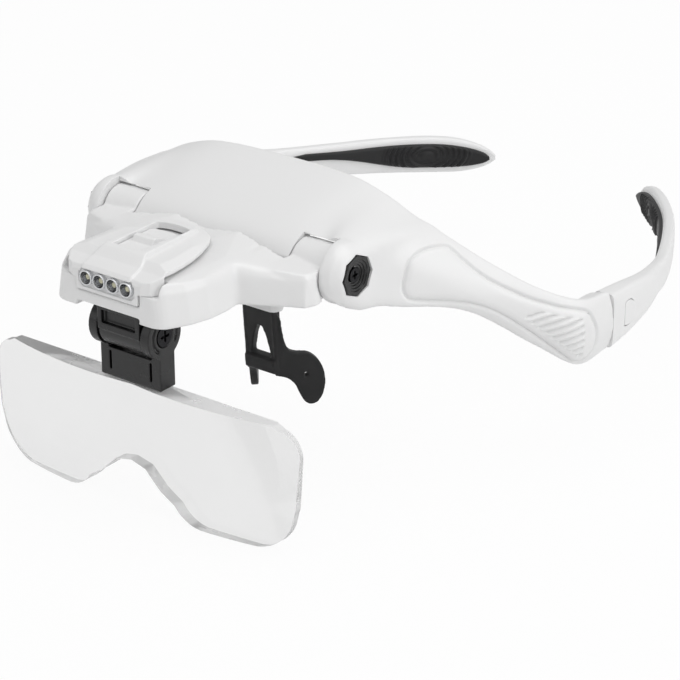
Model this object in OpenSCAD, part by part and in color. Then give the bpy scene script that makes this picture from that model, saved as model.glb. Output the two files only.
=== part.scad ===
// Lighted headband magnifier
// Millimetres. The origin is the middle of the tilt axis of the front bracket.
// +X is the wearer's left, seen from the front as the right; -Y faces forward; +Z is up.

/* [Frame] */
// Half width of the frame at the temples
temple_half_w = 78; // [72:1:86]
// Distance of the leg seam behind the tilt axis
seam_y = 58; // [54:1:66]
// Distance of the rear rim of the visor behind the tilt axis
rim_y = 25.5; // [23:0.5:30]
// Height of the middle of the rim above the tilt axis
crown_h = 14.4; // [12:0.2:17]
// Drop of the wing's elbow under the tilt axis
elbow_drop = 31.8; // [28:0.2:36]
// Wall of the visor shell
shell_t = 2.4; // [2:0.1:3]
// Wall of the wing at the leg seam, socket included
seam_t = 6.4; // [6:0.1:7.5]
// Height of the wing at the leg seam
seam_h = 15.8; // [14:0.2:18]

/* [Tilt pivots] */
// Distance of each cheek's inner face from the middle
cheek_in = 33; // [32:0.2:36]
// Thickness of each cheek, measured along the axis
cheek_t = 7.5; // [6.5:0.1:9]
// Outer radius of the cheeks
cheek_r = 8.2; // [7.8:0.1:9]
// Width of the bracket barrels in their notches
barrel_w = 6.4; // [5:0.1:7]
// Radius of the barrels
barrel_r = 5.3; // [4.8:0.1:5.5]
// Radius of the pivot screw's shank
pivot_r = 1.8; // [1.5:0.05:2.2]
// Distance across the flats of the octagonal caps
cap_af = 11.2; // [10:0.2:12]

/* [Front bracket] */
// Half width of the bracket's front block
block_half_w = 18; // [17.2:0.2:19.4]
// Distance of the bracket's front face ahead of the tilt axis
bracket_fwd = 43.6; // [41:0.2:48]
// Height of the bracket's top plate above the tilt axis
deck_h = 5; // [4.8:0.1:5.6]
// Depth of the bracket's skirt under the tilt axis
skirt_drop = 5.6; // [5.2:0.1:6.6]
// Wall of the bracket
bracket_wall = 1.8; // [1.5:0.1:2.4]
// Radius of the hollow that clears the visor's lip
lip_clear_r = 8.4; // [8.2:0.1:9.5]

/* [Lamp] */
// Half width of the lamp case
lamp_half_w = 14.6; // [14:0.1:16]
// Half width of the lamp's nose between the bracket's front arms
nose_half_w = 9.5; // [9:0.1:10.5]
// Height of the lamp's crest above the tilt axis
lamp_h = 9.2; // [8.9:0.1:10.4]
// Distance of the lamp's back end ahead of the tilt axis
lamp_back = 12.2; // [11.8:0.1:13]
// Wall of the lamp case
lamp_wall = 1.2; // [1:0.1:1.6]
// Spacing of the light diodes
led_pitch = 4.13; // [3.8:0.01:4.4]
// Diameter of the light diodes
led_d = 3; // [2.6:0.1:3.2]
// Height of the row of diodes above the tilt axis
led_z = 2.4; // [2:0.1:3]
// Diameter of the button cells
cell_d = 12.5; // [11:0.1:12.6]
// Thickness of one button cell
cell_t = 1.6; // [1.4:0.1:1.7]
// Travel of the lamp's slide switch
switch_travel = 3; // [2:0.2:3.6]

/* [Lens hinge] */
// Distance of the lens hinge ahead of the tilt axis
hinge_fwd = 34.3; // [33.5:0.1:36]
// Drop of the lens hinge under the tilt axis
hinge_drop = 11.9; // [11.9:0.1:14]
// Radius of the hinge knuckles
knuckle_r = 6; // [5.6:0.1:6.2]
// Half width of the lens holder
holder_half_w = 9.5; // [9:0.1:11]
// Thickness of each ear of the lens holder
ear_t = 2.6; // [2.2:0.1:3]
// Radius of the hinge screw's shank
hinge_r = 1.5; // [1.25:0.05:1.8]
// Thickness of the holder's slab
slab_t = 5.4; // [5:0.1:6.5]
// Drop of the holder's lower edge under the tilt axis
holder_drop = 25.9; // [24:0.1:28]

/* [Lens] */
// Half width of the lens
lens_half_w = 48; // [42:0.5:54]
// Height of the lens from its lobes to its top edge
lens_h = 33; // [30:0.5:36]
// Greatest thickness of the lens
lens_t = 7; // [6:0.1:8]
// Radius of the front curve of each half
lens_curve_r = 115; // [100:1:160]
// Height of the nose arch above the lobes
arch_h = 13; // [10:0.5:16]
// Width of the lens tongue
tongue_w = 11; // [9:0.1:12]
// Height of the lens tongue
tongue_h = 7; // [6:0.1:8]

/* [Nose pad] */
// Distance of the nose pad's neck behind the tilt axis
pad_y = 13.6; // [12.5:0.1:15]
// Drop of the nose post's lower end under the tilt axis
post_drop = 24.4; // [23:0.2:28]
// Width of the nose pad's neck
neck_w = 10.8; // [10:0.1:12]
// Thickness of the nose pad's neck
neck_t = 2.6; // [2.4:0.1:3.2]
// Angle that each nose wing flares outward
flare = 37; // [30:1:42]

/* [Legs] */
// Reach of the leg tips behind the tilt axis
leg_reach = 160; // [150:1:172]
// Distance of the leg tips from the middle
tip_x = 26; // [18:1:34]
// Height of the leg pads
pad_h = 7.4; // [6.5:0.1:8]
// Thickness of the leg pads
leg_pad_t = 1.5; // [1.2:0.1:2]
// Thickness of the legs behind their plugs
leg_t = 4.2; // [3.8:0.1:5]
// Length of the plug in the wing's socket
plug_len = 9; // [8:0.5:9]

/* [Fits] */
// Radial running clearance of shanks in their bores
run_gap = 0.05; // [0.02:0.01:0.08]
// Gap between parts that slide or turn past each other
slide_gap = 0.3; // [0.25:0.05:0.4]

/* [Hidden] */
$fn = 48;
eps = 0.01;

white = [0.93, 0.93, 0.94];
black = [0.08, 0.08, 0.09];
rubber = [0.13, 0.13, 0.14];
metal = [0.72, 0.73, 0.75];
brass = [0.78, 0.66, 0.38];
clear = [0.86, 0.93, 0.96, 0.4];
board = [0.1, 0.4, 0.25];

// Small helpers
function lerp(a, b, t) = a + (b - a) * t;
function unit(v) = v / norm(v);
function flip_x(p) = [-p.x, p.y, p.z];
function arc(c, r, a0, a1, n) = [for (i = [0 : n]) c + r * [cos(lerp(a0, a1, i / n)), sin(lerp(a0, a1, i / n))]];
function round_rect(w, d, r) = concat(
    arc([w / 2 - r, d / 2 - r], r, 0, 90, 5), arc([r - w / 2, d / 2 - r], r, 90, 180, 5),
    arc([r - w / 2, r - d / 2], r, 180, 270, 5), arc([w / 2 - r, r - d / 2], r, 270, 360, 5));

// Smooth curve through the points p, with u counted in points
function spline(p, u) =
    let (n = len(p) - 1, i = max(0, min(floor(u), n - 1)), f = u - i,
         b = p[i], c = p[i + 1],
         a = i > 0 ? p[i - 1] : 2 * b - c,
         d = i < n - 1 ? p[i + 2] : 2 * c - b)
    0.5 * (2 * b + (c - a) * f + (2 * a - 5 * b + 4 * c - d) * f * f + (3 * b - a - 3 * c + d) * f * f * f);

// Triangles between the rings of a grid that is closed along each ring
function ring_faces(rings, n) = [for (i = [0 : rings - 2]) for (j = [0 : n - 1])
    let (a = i * n + j, b = i * n + (j + 1) % n, c = a + n, d = b + n)
    each [[a, b, d], [a, d, c]]];
function cap_faces(n, last) = [for (j = [1 : n - 2]) last < 0 ? [0, j + 1, j] : [last, last + j, last + j + 1]];
module skin_rings(rings) {
    n = len(rings[0]);
    polyhedron(points = [for (r = rings) each r],
        faces = concat(ring_faces(len(rings), n), cap_faces(n, -1), cap_faces(n, (len(rings) - 1) * n)));
}

module along_x(x0, x1) translate([x0, 0, 0]) rotate([0, 90, 0]) rotate([0, 0, 90]) linear_extrude(x1 - x0) children();
module rod_x(r, x0, x1) translate([x0, 0, 0]) rotate([0, 90, 0]) cylinder(r = r, h = x1 - x0);
module both_sides() {
    children();
    mirror([1, 0, 0]) children();
}

// Frame loft: sections from the middle to the leg seam, each from the lower lip to the rim
cheek_out = cheek_in + cheek_t;
lip_y = 7;
lip_z = 2.4;
notch_in = cheek_in - slide_gap - barrel_w - slide_gap;
rim_x = 20;
sections = [
    [[0, -lip_y, lip_z], [0, -2.5, 6.2], [0, 6, 9.8], [0, 16, crown_h - 1.8], [0, rim_y, crown_h]],
    [[17, 0.4 - lip_y, lip_z - 0.2], [17.5, -2.3, 6.0], [18.5, 6, 9.6], [19.5, 16, crown_h - 2.2],
        [rim_x, rim_y - 0.3, crown_h - 0.5]],
    [[notch_in + 3, 1.6 - lip_y, lip_z - 1.4], [notch_in + 3, -1.6, 5.3], [notch_in + 3.2, 6.5, 8.7],
        [notch_in + 4, 16, crown_h - 3.8], [notch_in + 5, rim_y - 0.1, crown_h - 3.2]],
    [[cheek_in + 3.5, -1, 0.2 - cheek_r], [cheek_in + 2.5, -cheek_r, -2.5], [cheek_in + 3, -3.5, 5.4],
        [cheek_in + 5, 11, 7.6], [cheek_in + 6.5, rim_y + 1.2, crown_h - 7.4]],
    [[cheek_out + 4, 8.6, -9.6], [cheek_out + 4.6, 8.8, -5], [cheek_out + 4.9, 12, 0],
        [cheek_out + 5.6, 20, 2.8], [cheek_out + 7, rim_y + 4.1, 2.2]],
    [[temple_half_w - 23, 25, -14.5], [temple_half_w - 22, 25, -11], [temple_half_w - 21.4, 27, -8],
        [temple_half_w - 21, 30.5, -5.5], [temple_half_w - 20.8, rim_y + 9.1, -4.2]],
    [[temple_half_w - 11.5, 38, 6.8 - elbow_drop], [temple_half_w - 10.5, 37.6, 11.3 - elbow_drop],
        [temple_half_w - 10.2, 38, 15.8 - elbow_drop], [temple_half_w - 10.4, 39.3, 19.6 - elbow_drop],
        [temple_half_w - 11, 40.6, 21.6 - elbow_drop]],
    [[temple_half_w - 3.8, 47, -elbow_drop], [temple_half_w - 2.6, 46.4, 4.8 - elbow_drop],
        [temple_half_w - 2.4, 46.4, 9.8 - elbow_drop], [temple_half_w - 3, 47.2, 14.8 - elbow_drop],
        [temple_half_w - 4, 48.5, 17.8 - elbow_drop]],
    [[temple_half_w - 1.5, seam_y, 1.4 - elbow_drop], [temple_half_w - 0.3, seam_y, 1.4 - elbow_drop + seam_h / 4],
        [temple_half_w, seam_y, 1.4 - elbow_drop + seam_h / 2],
        [temple_half_w - 0.5, seam_y, 1.4 - elbow_drop + 3 * seam_h / 4],
        [temple_half_w - 1.7, seam_y, 1.4 - elbow_drop + seam_h]]];
half = len(sections) - 1;
net = concat([for (i = [half : -1 : 1]) [for (p = sections[i]) flip_x(p)]], sections);
rows = len(sections[0]);
net_rows = [for (j = [0 : rows - 1]) [for (s = net) s[j]]];
function skin(u, v) = spline([for (r = net_rows) spline(r, u)], v * (rows - 1));
function skin_normal(u, v) =
    let (u0 = max(0, u - 0.02), u1 = min(2 * half, u + 0.02), v0 = max(0, v - 0.02), v1 = min(1, v + 0.02))
    unit(cross(skin(u1, v) - skin(u0, v), skin(u, v1) - skin(u, v0)));
function wall_at(u) =
    let (d = max(0, (abs(u - half) - (half - 3)) / 3)) lerp(shell_t, seam_t, d * d * (3 - 2 * d));
loft_u = 56;
loft_v = 8;
module frame_shell() {
    outer = [for (i = [0 : loft_u]) [for (j = [0 : loft_v]) skin(2 * half * i / loft_u, j / loft_v)]];
    inner = [for (i = [0 : loft_u]) let (u = 2 * half * i / loft_u)
        [for (j = [loft_v : -1 : 0]) let (q = skin(u, j / loft_v) - wall_at(u) * skin_normal(u, j / loft_v))
            [q.x, min(q.y, seam_y), q.z]]];
    rings = [for (i = [0 : loft_u]) concat(outer[i], inner[i])];
    skin_rings(rings);
}

// Leg socket and plug, both in the wing's rear end
seam_z = 1.4 - elbow_drop + seam_h / 2;
plug_x = temple_half_w - 4;
leg_x = temple_half_w - 0.3 - (seam_t - 0.4) / 2;
plug_w = 2.6;
plug_h = 9;
plug_root = 2;
module plug_body(len, grow, root = 0) translate([plug_x - plug_w / 2 - grow, seam_y - len, seam_z - plug_h / 2 - grow])
    cube([plug_w + 2 * grow, len + root + 2 * grow, plug_h + 2 * grow]);

post_w = neck_w + 2;
post_t = neck_t + 2.6;
neck_plug = 8;
module nose_post() translate([0, pad_y, -post_drop])
    linear_extrude(post_drop + crown_h - 4.1) polygon(round_rect(post_w, post_t, post_t / 2 - 0.05));
module neck_socket() translate([-neck_w / 2, pad_y - neck_t / 2, -post_drop - 1])
    cube([neck_w, neck_t, neck_plug + 1 + slide_gap]);

cap_t = 1.9;
cap_x = cheek_out + 0.5 - cap_t;
head_r = 3;
head_t = 1.3;
head_x = cap_x + 0.7;
nut_t = 2.4;
washer_t = 0.5;
nut_r = 3.6;
washer_x = notch_in + slide_gap - washer_t;
nut_x = washer_x - nut_t;
module octagon(af, x0, x1) translate([x0, 0, 0]) rotate([0, 90, 0]) rotate([0, 0, 22.5])
    cylinder(r = af / 2 / cos(22.5), h = x1 - x0, $fn = 8);

module main_frame() color(white) difference() {
    union() {
        frame_shell();
        both_sides() {
            rod_x(cheek_r, cheek_in, cheek_in + 2.6);
            translate([cheek_in + 2.6, 0, 0]) rotate([0, 90, 0]) cylinder(r1 = cheek_r, r2 = cap_af / 2 + 1, h = cheek_t - 2.6);
        }
        nose_post();
    }
    both_sides() {
        translate([notch_in, -20, -20]) cube([cheek_in - notch_in, 20.8, 40]);
        rod_x(barrel_r + 0.5, notch_in, cheek_in);
        rod_x(nut_r + 0.6, nut_x - 0.6, notch_in + eps);
        rod_x(pivot_r + run_gap, notch_in, cheek_out + 10);
        octagon(cap_af + 0.2, cap_x, cheek_out + 12);
        plug_body(plug_len + 0.2, 0.1);
    }
    neck_socket();
}

// Front bracket: a block that carries the lamp and two arms that end in the barrels
base_z = -1.1;
bay_half_w = nose_half_w + slide_gap;
bay_back = -lamp_back - 11.6;
bay_floor = base_z - slide_gap;
shelf_z = 1.8;
shelf_half_w = lamp_half_w + 0.3;
arm_x = cheek_in + 0.9;
arm_y = -cheek_r - 0.4;
// Closed outline from the half outline p that starts and may end on the middle line
function whole(p) = concat(p, [for (i = [len(p) - 1 : -1 : 1]) if (p[i].x > 0) [-p[i].x, p[i].y]]);
// Outline of the block at an inset from its foot
function block_plan(in) = let (w = block_half_w - in, r = 4.6 - in / 3) whole(concat(
    [[0, in / 3 - bracket_fwd]], arc([w - r, in / 3 + r - bracket_fwd], r, -90, -18, 5),
    [[w + 2.2, 7 - bracket_fwd], [w + 3.9, 12.4 - bracket_fwd], [w + 4.2, 17.8 - bracket_fwd],
     [w + 3.4, 23 - bracket_fwd], [w + 0.6, -6], [w - 3, 0], [0, 0]]));
function arm_plan(in) = [[12, -27 + in], [22 - in / 3, -20.4 + in], [27, -16.6 + in], [arm_x - 3.6, -14.9 + in],
    [arm_x - 1 - in / 2, -13 + in], [arm_x - in, -10.4 + in / 2], [arm_x - in, arm_y], [arm_x - 2, 0], [12, 0]];
// Side outline of the deck, seen along X: level over the block, rising to the ridges at the visor's lip
module deck_side(in) along_x(-60, 60) polygon([
    [in - bracket_fwd, -skirt_drop - 1], [in - bracket_fwd, deck_h - 3 - in],
    [1 + in - bracket_fwd, deck_h - 0.9 - in], [3.4 - bracket_fwd, deck_h - in],
    [-19, deck_h - in], [-7.2, deck_h + 0.9 - in], [1, deck_h + 0.9 - in], [1, -skirt_drop - 1]]);
// Front outline of the deck, seen along Y: ridges on both sides of the lamp, falling towards the arms
module deck_front(in) translate([0, 1, 0]) rotate([90, 0, 0]) linear_extrude(60) polygon([
    [-arm_x - 1, -skirt_drop - 1], [-arm_x - 1, 2 - in], [-26, 3.4 - in], [-10, deck_h + 0.9 - in],
    [0, deck_h - 0.2 - in], [10, deck_h + 0.9 - in], [26, 3.4 - in], [arm_x + 1, 2 - in], [arm_x + 1, -skirt_drop - 1]]);
module slab(z, h) translate([0, 0, z]) linear_extrude(h) children();

module front_bracket() color(white) difference() {
    union() {
        difference() {
            intersection() {
                union() {
                    hull() {
                        slab(-skirt_drop, 1) polygon(block_plan(0));
                        slab(2.6, 0.1) polygon(block_plan(1.2));
                        slab(deck_h + 0.9, 0.1) polygon(block_plan(3.2));
                    }
                    both_sides() hull() {
                        slab(-skirt_drop, 1) polygon(arm_plan(0));
                        slab(0.8, 0.1) polygon(arm_plan(0.7));
                        slab(4.4, 0.1) polygon(arm_plan(2.4));
                    }
                }
                deck_side(0);
                deck_front(0);
            }
            // hollow underside, open to below between the floor and the arms
            intersection() {
                slab(-skirt_drop - 1, skirt_drop + 12) polygon(whole([[0, bay_back + 1], [block_half_w, bay_back + 1],
                    [block_half_w + 1, -20.2], [24.4, -15.8], [arm_x - 4.4, -12.6], [arm_x - 2.6, -11.4], [0, -11.4]]));
                deck_side(2.2);
                deck_front(2);
            }
            // raised foot between the front corners
            translate([-bay_half_w, -bracket_fwd - 1, -skirt_drop - 1]) cube([2 * bay_half_w, 3.4, 2.4]);
            // clearance for the visor's lip between the barrels
            rod_x(lip_clear_r, -notch_in - slide_gap + eps, notch_in + slide_gap - eps);
            both_sides() rod_x(cheek_r + 0.6, cheek_in - slide_gap - eps, cheek_in + 20);
        }
        both_sides() {
            rod_x(barrel_r, notch_in + slide_gap, cheek_in - slide_gap);
            translate([notch_in + slide_gap, -12, -skirt_drop]) cube([barrel_w, 12, skirt_drop + 1.6]);
        }
    }
    // bay that takes the lamp's tub, and the shelf under its shoulders
    translate([-bay_half_w, -bracket_fwd - 5, bay_floor]) cube([2 * bay_half_w, bracket_fwd + 5 + bay_back, 30]);
    translate([-shelf_half_w, -bracket_fwd - 5, shelf_z]) cube([2 * shelf_half_w, 10 - slide_gap / 2, 30]);
    slab(deck_h, 20) polygon(lamp_plan(-slide_gap));
    both_sides() rod_x(pivot_r + run_gap, notch_in, cheek_in + 1);
    for (x = [-clip_screw_x, clip_screw_x]) translate([x, clip_screw_y, -skirt_drop - 1]) cylinder(r = 0.75, h = 4.5);
}

// Lamp
lamp_seat = deck_h + 0.25;
lamp_front = bracket_fwd + 0.6;
// Outline of the lamp at an inset from its foot, widest near the front and round at the back
function lamp_plan(in) = let (w = lamp_half_w - in, l = lamp_back + in, g = lamp_front - in) whole([
    [0, -g], [nose_half_w - in / 2, -g], [w - 1.8, 1.6 - g], [w - 0.2, 4 - g], [w, 8 - g], [w - 0.4, 12 - g], [w - 1.1, 16.4 - g],
    [w - 2.3, -l - 11.2], [w - 4.4, -l - 6], [w - 6.4, -l - 3], [w - 9.8, -l - 0.9], [w - 12.3, -l - 0.2], [0, -l]]);
module lamp_side(in) along_x(-60, 60) polygon([
    [in - lamp_front, -10], [in - lamp_front, 4.4 - in], [2.6 - lamp_front, 6.3 - in],
    [6.4 - lamp_front, lamp_h - 0.7 - in], [8 - lamp_front, lamp_h - in],
    [2 - lamp_back, lamp_h - in], [2 - lamp_back, -10]]);
module lamp_hull(in) intersection() {
    union() {
        hull() {
            slab(lamp_seat, 1.2) polygon(lamp_plan(in));
            slab(lamp_h - 1.3 - in, 0.1) polygon(lamp_plan(in + 0.8));
            slab(lamp_h - 0.1 - in, 0.1) polygon(lamp_plan(in + 2.6));
        }
        intersection() {
            slab(shelf_z + 0.1, lamp_seat) polygon(lamp_plan(in));
            translate([-60, -60, 0]) cube([120, 65 - lamp_front, 60]);
        }
        translate([in - nose_half_w, in - lamp_front, base_z]) cube([2 * (nose_half_w - in), 5 - in, lamp_seat + 2]);
    }
    lamp_side(in);
}
switch_y = -29.2;
switch_w = 9.6;
switch_len = 14;
module switch_shape(grow) translate([0, switch_y, 0])
    polygon([[-switch_w / 2 - grow, -switch_len / 2 - grow], [switch_w / 2 + grow, -switch_len / 2 - grow],
        [switch_w / 2 + 1 + grow, switch_len / 2 + grow], [-switch_w / 2 - 1 - grow, switch_len / 2 + grow]]);
module lamp_cover() color(white) difference() {
    union() {
        lamp_hull(0);
        // raised panel round the switch
        slab(lamp_h - 0.5, 0.9) polygon(whole([[0, 9 - lamp_front], [6.2, 9 - lamp_front], [7.8, -lamp_back - 6], [6.4, -lamp_back - 4.4],
            [0, -lamp_back - 4]]));
    }
    intersection() {
        lamp_hull(lamp_wall);
        translate([-60, lamp_wall + 3 - lamp_front, -20]) cube([120, 60, 60]);
    }
    translate([-60, tub_front - slide_gap / 3, -20]) cube([120, 60, 20 + lamp_seat]);
    translate([lamp_wall - nose_half_w, 3.4 - lamp_front, base_z + 0.8]) cube([2 * (nose_half_w - lamp_wall), 10, lamp_seat]);
    // opening of the switch, long enough for its travel
    slab(lamp_h - lamp_wall - 1, 10) hull() {
        switch_shape(slide_gap);
        translate([0, switch_travel]) switch_shape(slide_gap);
    }
    // recess in front of the diodes, and their sockets
    translate([0, 1.2 - lamp_front, led_z - 0.3]) rotate([90, 0, 0]) linear_extrude(5) polygon(round_rect(17.4, 4.6, 1.6));
    for (i = [0 : 3]) translate([(i - 1.5) * led_pitch, -lamp_front - 1, led_z]) rotate([-90, 0, 0])
        cylinder(r = led_d / 2 + 0.05, h = 8);
}

// Tub under the cover: it carries the cells and the board and slides in the bracket's bay
tub_back = bay_back - slide_gap;
tub_front = 5 + slide_gap / 3 - lamp_front;
module lamp_base() color(white) difference() {
    union() {
        translate([-nose_half_w, tub_front, base_z]) cube([2 * nose_half_w, tub_back - tub_front, lamp_seat - base_z + 0.5]);
        intersection() {
            slab(lamp_seat, 0.9) polygon(lamp_plan(lamp_wall + 0.15));
            translate([-60, tub_front, 0]) cube([120, 60, 60]);
        }
    }
    translate([0, cell_y, base_z + 1]) cylinder(r = cell_d / 2 + 0.2, h = 20);
    translate([-nose_half_w + 1, tub_front - 1, base_z + 1])
        cube([2 * nose_half_w - 2, cell_y - tub_front - cell_d / 2 + 3, 20]);
    for (x = [-screw_x, screw_x]) translate([x, screw_y, base_z - 1]) {
        cylinder(r = 0.75, h = 20);
        cylinder(r = 1.35, h = 1.75);
    }
}
cell_y = tub_back - cell_d / 2 - 1.2;
screw_x = nose_half_w - 1.6;
screw_y = tub_back - 1.8;
cell_z = base_z + 1.4;
module button_cells() color(metal) for (k = [0, 1]) translate([0, cell_y, cell_z + k * (cell_t + 0.05)]) {
    cylinder(r = cell_d / 2 - 0.4, h = cell_t);
    cylinder(r = cell_d / 2, h = cell_t - 0.3);
}
contact_z = cell_z + 2 * cell_t + 0.1;
board_y = 3.9 - lamp_front;
board_t = 0.8;
contact_y = board_y + board_t + 0.05;
// Leaf on the upper cell and leaf under the lower cell, both with a tab that touches the board
module contact_spring() color(brass) {
    translate([-1.6, contact_y, contact_z]) cube([3.2, cell_y + 2 - contact_y, 0.3]);
    translate([0, cell_y + 2, contact_z]) cylinder(r = 2.4, h = 0.3);
    translate([-1.6, contact_y, contact_z]) cube([3.2, 0.3, 1.2]);
}
module contact_strip() color(brass) {
    translate([-1.6, contact_y, base_z + 1.05]) cube([3.2, cell_y + 3 - contact_y, 0.3]);
    translate([-1.6, contact_y, base_z + 1.05]) cube([3.2, 0.3, 1.8]);
}
module circuit_board() color(board) translate([0.3 + lamp_wall - nose_half_w, board_y, base_z + 1])
    cube([2 * (nose_half_w - lamp_wall - 0.3), board_t, lamp_seat - base_z - 1.3]);
module leds() color([0.8, 0.82, 0.85]) for (i = [0 : 3]) translate([(i - 1.5) * led_pitch, 0.2 - lamp_front, led_z])
    rotate([-90, 0, 0]) {
        translate([0, 0, led_d / 2 - 0.6]) sphere(r = led_d / 2);
        translate([0, 0, led_d / 2 - 0.6]) cylinder(r = led_d / 2, h = 2.6);
    }
slider_z = lamp_h - lamp_wall;
module switch_slider() color(white) {
    translate([0, 0, slider_z - 0.9]) linear_extrude(1.5) switch_shape(0);
    translate([0, switch_y + 1, slider_z + 0.5]) rotate([0, 90, 0]) translate([0, 0, -switch_w / 2 + 1])
        intersection() {
            cylinder(r = 1.7, h = switch_w - 2);
            translate([-1.1, -2, -1]) cube([2, 4, switch_w]);
        }
    translate([-1, switch_y - 1.5, lamp_seat + 1.4]) cube([2, 3, slider_z - 0.5 - lamp_seat - 1.4]);
}
module lamp_screws() color(metal) for (x = [-screw_x, screw_x]) translate([x, screw_y, base_z - 0.4]) {
    translate([0, 0, 0.5]) cylinder(r = 0.7, h = 5);
    difference() {
        translate([0, 0, 0.45]) cylinder(r = 1.3, h = 0.65);
        translate([-1, -0.15, 0.4]) cube([2, 0.3, 0.4]);
        translate([-0.15, -1, 0.4]) cube([0.3, 2, 0.4]);
    }
}

// Pivots
module right_cap() color(black) difference() {
    octagon(cap_af, cap_x + 0.02, cap_x + cap_t);
    rod_x(cap_af / 2 - 1.1, cap_x + cap_t - 0.4, cap_x + cap_t + 1);
    rod_x(cap_af / 2 - 1.9, cap_x + cap_t - 0.8, cap_x + cap_t + 1);
    rod_x(head_r + 0.15, head_x - 0.05, cap_x + cap_t + 1);
    rod_x(pivot_r + 0.05, cap_x - 1, cap_x + cap_t + 1);
}
module right_screw() color(black) difference() {
    union() {
        rod_x(head_r, head_x, head_x + head_t);
        rod_x(pivot_r, nut_x - 0.4, head_x + eps);
    }
    for (a = [0, 90]) rotate([a, 0, 0]) translate([head_x + head_t - 0.7, -0.4, -1.7]) cube([2, 0.8, 3.4]);
}
module right_washer() color(metal) difference() {
    rod_x(nut_r - 0.4, washer_x + 0.02, washer_x + washer_t - 0.02);
    rod_x(pivot_r + 0.04, washer_x - 1, washer_x + 2);
}
module right_nut() color(metal) difference() {
    translate([nut_x, 0, 0]) rotate([0, 90, 0]) cylinder(r = nut_r, h = nut_t, $fn = 6);
    rod_x(pivot_r + 0.02, nut_x - 1, washer_x + 2);
}
module pivot_cap_left() mirror([1, 0, 0]) right_cap();
module pivot_cap_right() right_cap();
module pivot_screw_left() mirror([1, 0, 0]) right_screw();
module pivot_screw_right() right_screw();
module pivot_washer_left() mirror([1, 0, 0]) right_washer();
module pivot_washer_right() right_washer();
module pivot_nut_left() mirror([1, 0, 0]) right_nut();
module pivot_nut_right() right_nut();

// Lens hinge
clip_screw_x = 4;
clip_screw_y = -hinge_fwd + 0.6;
clip_half_w = holder_half_w - ear_t - slide_gap;
clip_front = -hinge_fwd - knuckle_r + 0.1;
module at_hinge() translate([0, -hinge_fwd, -hinge_drop]) children();
module hinge_clip() color(black) difference() {
    union() {
        translate([-clip_half_w, clip_front, -hinge_drop]) cube([2 * clip_half_w, knuckle_r + 4.1, hinge_drop - skirt_drop - 0.05]);
        at_hinge() rod_x(knuckle_r - 0.4, -clip_half_w, clip_half_w);
    }
    translate([1.3 - clip_half_w, clip_front - 1, -skirt_drop - 4.6]) cube([2 * clip_half_w - 2.6, 2.2, 3.4]);
    at_hinge() rod_x(hinge_r + run_gap, -20, 20);
    for (x = [-clip_screw_x, clip_screw_x]) translate([x, clip_screw_y, -skirt_drop - 3]) {
        cylinder(r = 0.9, h = 8);
        translate([0, 0, -20]) cylinder(r = 1.7, h = 21);
    }
}
module clip_screws() color(metal) for (x = [-clip_screw_x, clip_screw_x]) translate([x, clip_screw_y, -skirt_drop - 3]) {
    translate([0, 0, 0.05]) cylinder(r = 0.7, h = 4.8);
    difference() {
        cylinder(r = 1.5, h = 0.98);
        translate([-1.1, -0.2, -0.1]) cube([2.2, 0.4, 0.6]);
        translate([-0.2, -1.1, -0.1]) cube([0.4, 2.2, 0.6]);
    }
}
slab_front = -hinge_fwd - 2;
slab_top = -hinge_drop - knuckle_r - 0.4;
module lens_holder() color(black) difference() {
    union() {
        at_hinge() both_sides() difference() {
            rod_x(knuckle_r, holder_half_w - ear_t, holder_half_w);
            rod_x(knuckle_r - 1.4, holder_half_w - 0.5, holder_half_w + 1);
        }
        at_hinge() both_sides() rod_x(knuckle_r - 2.2, holder_half_w - ear_t, holder_half_w);
        both_sides() translate([holder_half_w - ear_t, slab_front, slab_top - 1]) cube([ear_t, slab_t, 1 + knuckle_r]);
        translate([-holder_half_w, slab_front, -holder_drop]) cube([2 * holder_half_w, slab_t, slab_top + holder_drop]);
    }
    // slot for the lens tongue, and slits that let its front wall flex
    translate([-tongue_w / 2 - 0.1, lens_back - tongue_t - 0.1, -holder_drop - 1]) cube([tongue_w + 0.2, tongue_t + 0.2, tongue_h + 1.2]);
    for (s = [-1, 1]) translate([s * (tongue_w / 2 + 0.9) - 0.35, slab_front - 1, 1.8 - holder_drop]) cube([0.7, 2.4, 5]);
    at_hinge() rod_x(knuckle_r - 0.1, clip_half_w - 2 * clip_half_w - slide_gap, clip_half_w + slide_gap);
    at_hinge() rod_x(hinge_r + run_gap, -20, 20);
    at_hinge() rod_x(screw_head_r + 0.15, holder_half_w - 1.25, holder_half_w + 5);
    at_hinge() translate([-holder_half_w - 1, 0, 0]) rotate([0, 90, 0]) cylinder(r = hinge_nut_r + 0.15, h = 2.25, $fn = 6);
}
screw_head_r = 2.7;
hinge_nut_r = 2.7;
module hinge_screw() color(black) at_hinge() difference() {
    union() {
        rod_x(screw_head_r, holder_half_w - 1.2, holder_half_w + 0.1);
        rod_x(hinge_r, -holder_half_w + 0.1, holder_half_w - 1);
    }
    for (a = [0, 90]) rotate([a, 0, 0]) translate([holder_half_w - 0.6, -0.35, -1.5]) cube([2, 0.7, 3]);
}
module hinge_nut() color(metal) at_hinge() difference() {
    translate([0.05 - holder_half_w, 0, 0]) rotate([0, 90, 0]) cylinder(r = hinge_nut_r, h = 1.15, $fn = 6);
    rod_x(hinge_r + 0.02, -holder_half_w - 1, -holder_half_w + 2);
}
module hinge_washers() color(metal) at_hinge() both_sides() difference() {
    rod_x(knuckle_r - 1.6, clip_half_w + 0.03, clip_half_w + slide_gap - 0.03);
    rod_x(hinge_r + 0.05, 0, 20);
}

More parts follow.
